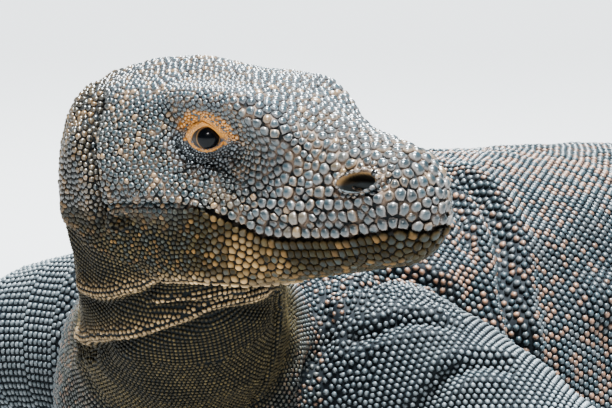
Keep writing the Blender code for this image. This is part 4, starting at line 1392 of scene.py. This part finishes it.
def make_eye(side, finish):
    """An eyeball with a slightly raised cornea over a dark iris."""
    sign = 1 if side == "left" else -1
    look = head_way(GAZE * Vector((sign, 1, 1)))
    shape = bmesh.new()
    bmesh.ops.create_uvsphere(shape, u_segments=72, v_segments=60, radius=1)
    mesh = drawn(shape, f"{side}_eyeball")
    rays = unit(read(mesh))
    angle = np.degrees(np.arccos(np.clip(rays[:, 2], -1, 1)))
    rise = 1 + 0.055 * smooth(38, 12, angle)
    turn = np.array(Vector(look).to_track_quat("Z", "Y").to_matrix())
    write(mesh, (rays * (EYE_RADIUS * rise)[:, None]) @ turn.T + np.array(eye_centre(side)))
    keys, shades = zip(*EYE_TONES)
    paint(mesh, rows_at(angle, keys, np.array(shades)))
    mesh.shade_smooth()
    mesh.materials.append(finish)
    eyeball = link(f"{side}_eyeball", mesh)
    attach(eyeball, "root")
    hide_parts(f"{side}_eye")


CLAW_ROOT = (0.030, 0.024, 0.020)
CLAW_TIP = (0.130, 0.100, 0.072)


def make_claws(side, kind, finish):
    """The five claws of a foot, smoothed and painted from dark horn at the root to a worn tip."""
    names = [f"{side}_{kind}_claw_{number}" for number in range(1, 6)]
    joined = bmesh.new()
    for name in names:
        joined.from_mesh(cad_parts[name].data)
    bmesh.ops.remove_doubles(joined, verts=joined.verts, dist=1e-6)
    claws = link(f"{side}_{kind}_claws", drawn(joined, f"{side}_{kind}_claws"))
    step = claws.modifiers.new("Subdivision", "SUBSURF")
    step.levels = 2
    step.render_levels = 2
    mesh = applied(claws)
    points = read(mesh)
    tip = smooth(0.013, 0.002, points[:, 2])
    paint(mesh, mix(np.tile(CLAW_ROOT, (len(points), 1)), CLAW_TIP, tip))
    mesh.shade_smooth()
    mesh.materials.clear()
    mesh.materials.append(finish)
    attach(claws, "root")
    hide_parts(*names)


# ---------------------------------------------------------------- floor, light and camera
CAMERA_TURN = math.radians(42)
CAMERA_RISE = math.radians(8)
CAMERA_AWAY = 2.2
CAMERA_LENS = 251.3
EYE_IN_FRAME = (-0.0505, 0.0345)  # the right eye's place right of and above the frame's middle


def add_camera():
    a, e = CAMERA_TURN, CAMERA_RISE
    back = Vector((math.sin(a) * math.cos(e), -math.cos(a) * math.cos(e), math.sin(e)))
    right = Vector((math.cos(a), math.sin(a), 0))
    up = back.cross(right)
    target = eye_centre("right") - right * EYE_IN_FRAME[0] - up * EYE_IN_FRAME[1]
    data = bpy.data.cameras.new("camera")
    data.lens = CAMERA_LENS
    data.sensor_width = 36
    data.clip_start = 0.1
    data.clip_end = 200
    camera = link("camera", data)
    place = Matrix((right, up, back)).transposed().to_4x4()
    camera.matrix_world = Matrix.Translation(target + back * CAMERA_AWAY) @ place
    bpy.context.scene.camera = camera


def area_light(name, place, aim, size, power, colour):
    data = bpy.data.lights.new(name, "AREA")
    data.shape = "DISK"
    data.size = size
    data.energy = power
    data.color = colour
    light = link(name, data)
    way = Vector(aim) - Vector(place)
    light.matrix_world = Matrix.Translation(place) @ way.to_track_quat("-Z", "Y").to_matrix().to_4x4()


def add_floor():
    """A wide pale floor that runs past every view."""
    shape = bmesh.new()
    bmesh.ops.create_circle(shape, cap_ends=True, segments=96, radius=90)
    floor = link("floor", drawn(shape, "floor"))
    finish = bpy.data.materials.new("floor")
    finish.use_nodes = True
    shader = finish.node_tree.nodes["Principled BSDF"]
    shader.inputs["Base Color"].default_value = (0.38, 0.375, 0.37, 1)
    shader.inputs["Roughness"].default_value = 0.9
    floor.data.materials.append(finish)


def add_light():
    head = HEAD @ Vector((0, 0.5, 0))
    data = bpy.data.lights.new("sky", "SUN")
    data.energy = 16
    data.angle = math.radians(18)
    data.color = (0.90, 0.96, 1.0)
    link("sky", data).matrix_world = Vector((-0.25, 0.10, -2.0)).to_track_quat("-Z", "Y").to_matrix().to_4x4()
    area_light("window", head + Vector((1.5, -1.7, 1.3)), head, 0.45, 20, (1.0, 0.97, 0.94))
    area_light("back", head + Vector((-1.4, 1.6, 1.5)), head, 0.8, 90, (0.92, 0.97, 1.0))
    world = bpy.data.worlds.new("studio")
    bpy.context.scene.world = world
    world.use_nodes = True
    sky = world.node_tree.nodes["Background"]
    sky.inputs["Color"].default_value = (0.80, 0.88, 0.97, 1)
    sky.inputs["Strength"].default_value = 0.26
    bpy.context.scene.view_settings.look = "AgX - Medium High Contrast"


def main():
    skin = make_skin()
    spot = describe(read(skin.data))
    gap, _, crown = markings(spot, np.full(len(spot["along"]), 0.5))
    lid = smooth(1.55, 1.40, lid_edge(spot["point"])) * near_eye(spot["point"], 0.02)
    paint(skin.data, mix(gap, crown, 0.75 * lid))
    skin.data.shade_smooth()
    skin.data.materials.clear()
    skin.data.materials.append(skin_finish())
    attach(skin, "root")
    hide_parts(*FLESH)
    make_scales(Surface(skin.data))
    eye, horn = eye_finish(), claw_finish()
    for side in SIDES:
        make_eye(side, eye)
        for kind in ("front", "hind"):
            make_claws(side, kind, horn)
    add_floor()
    add_light()
    add_camera()


main()
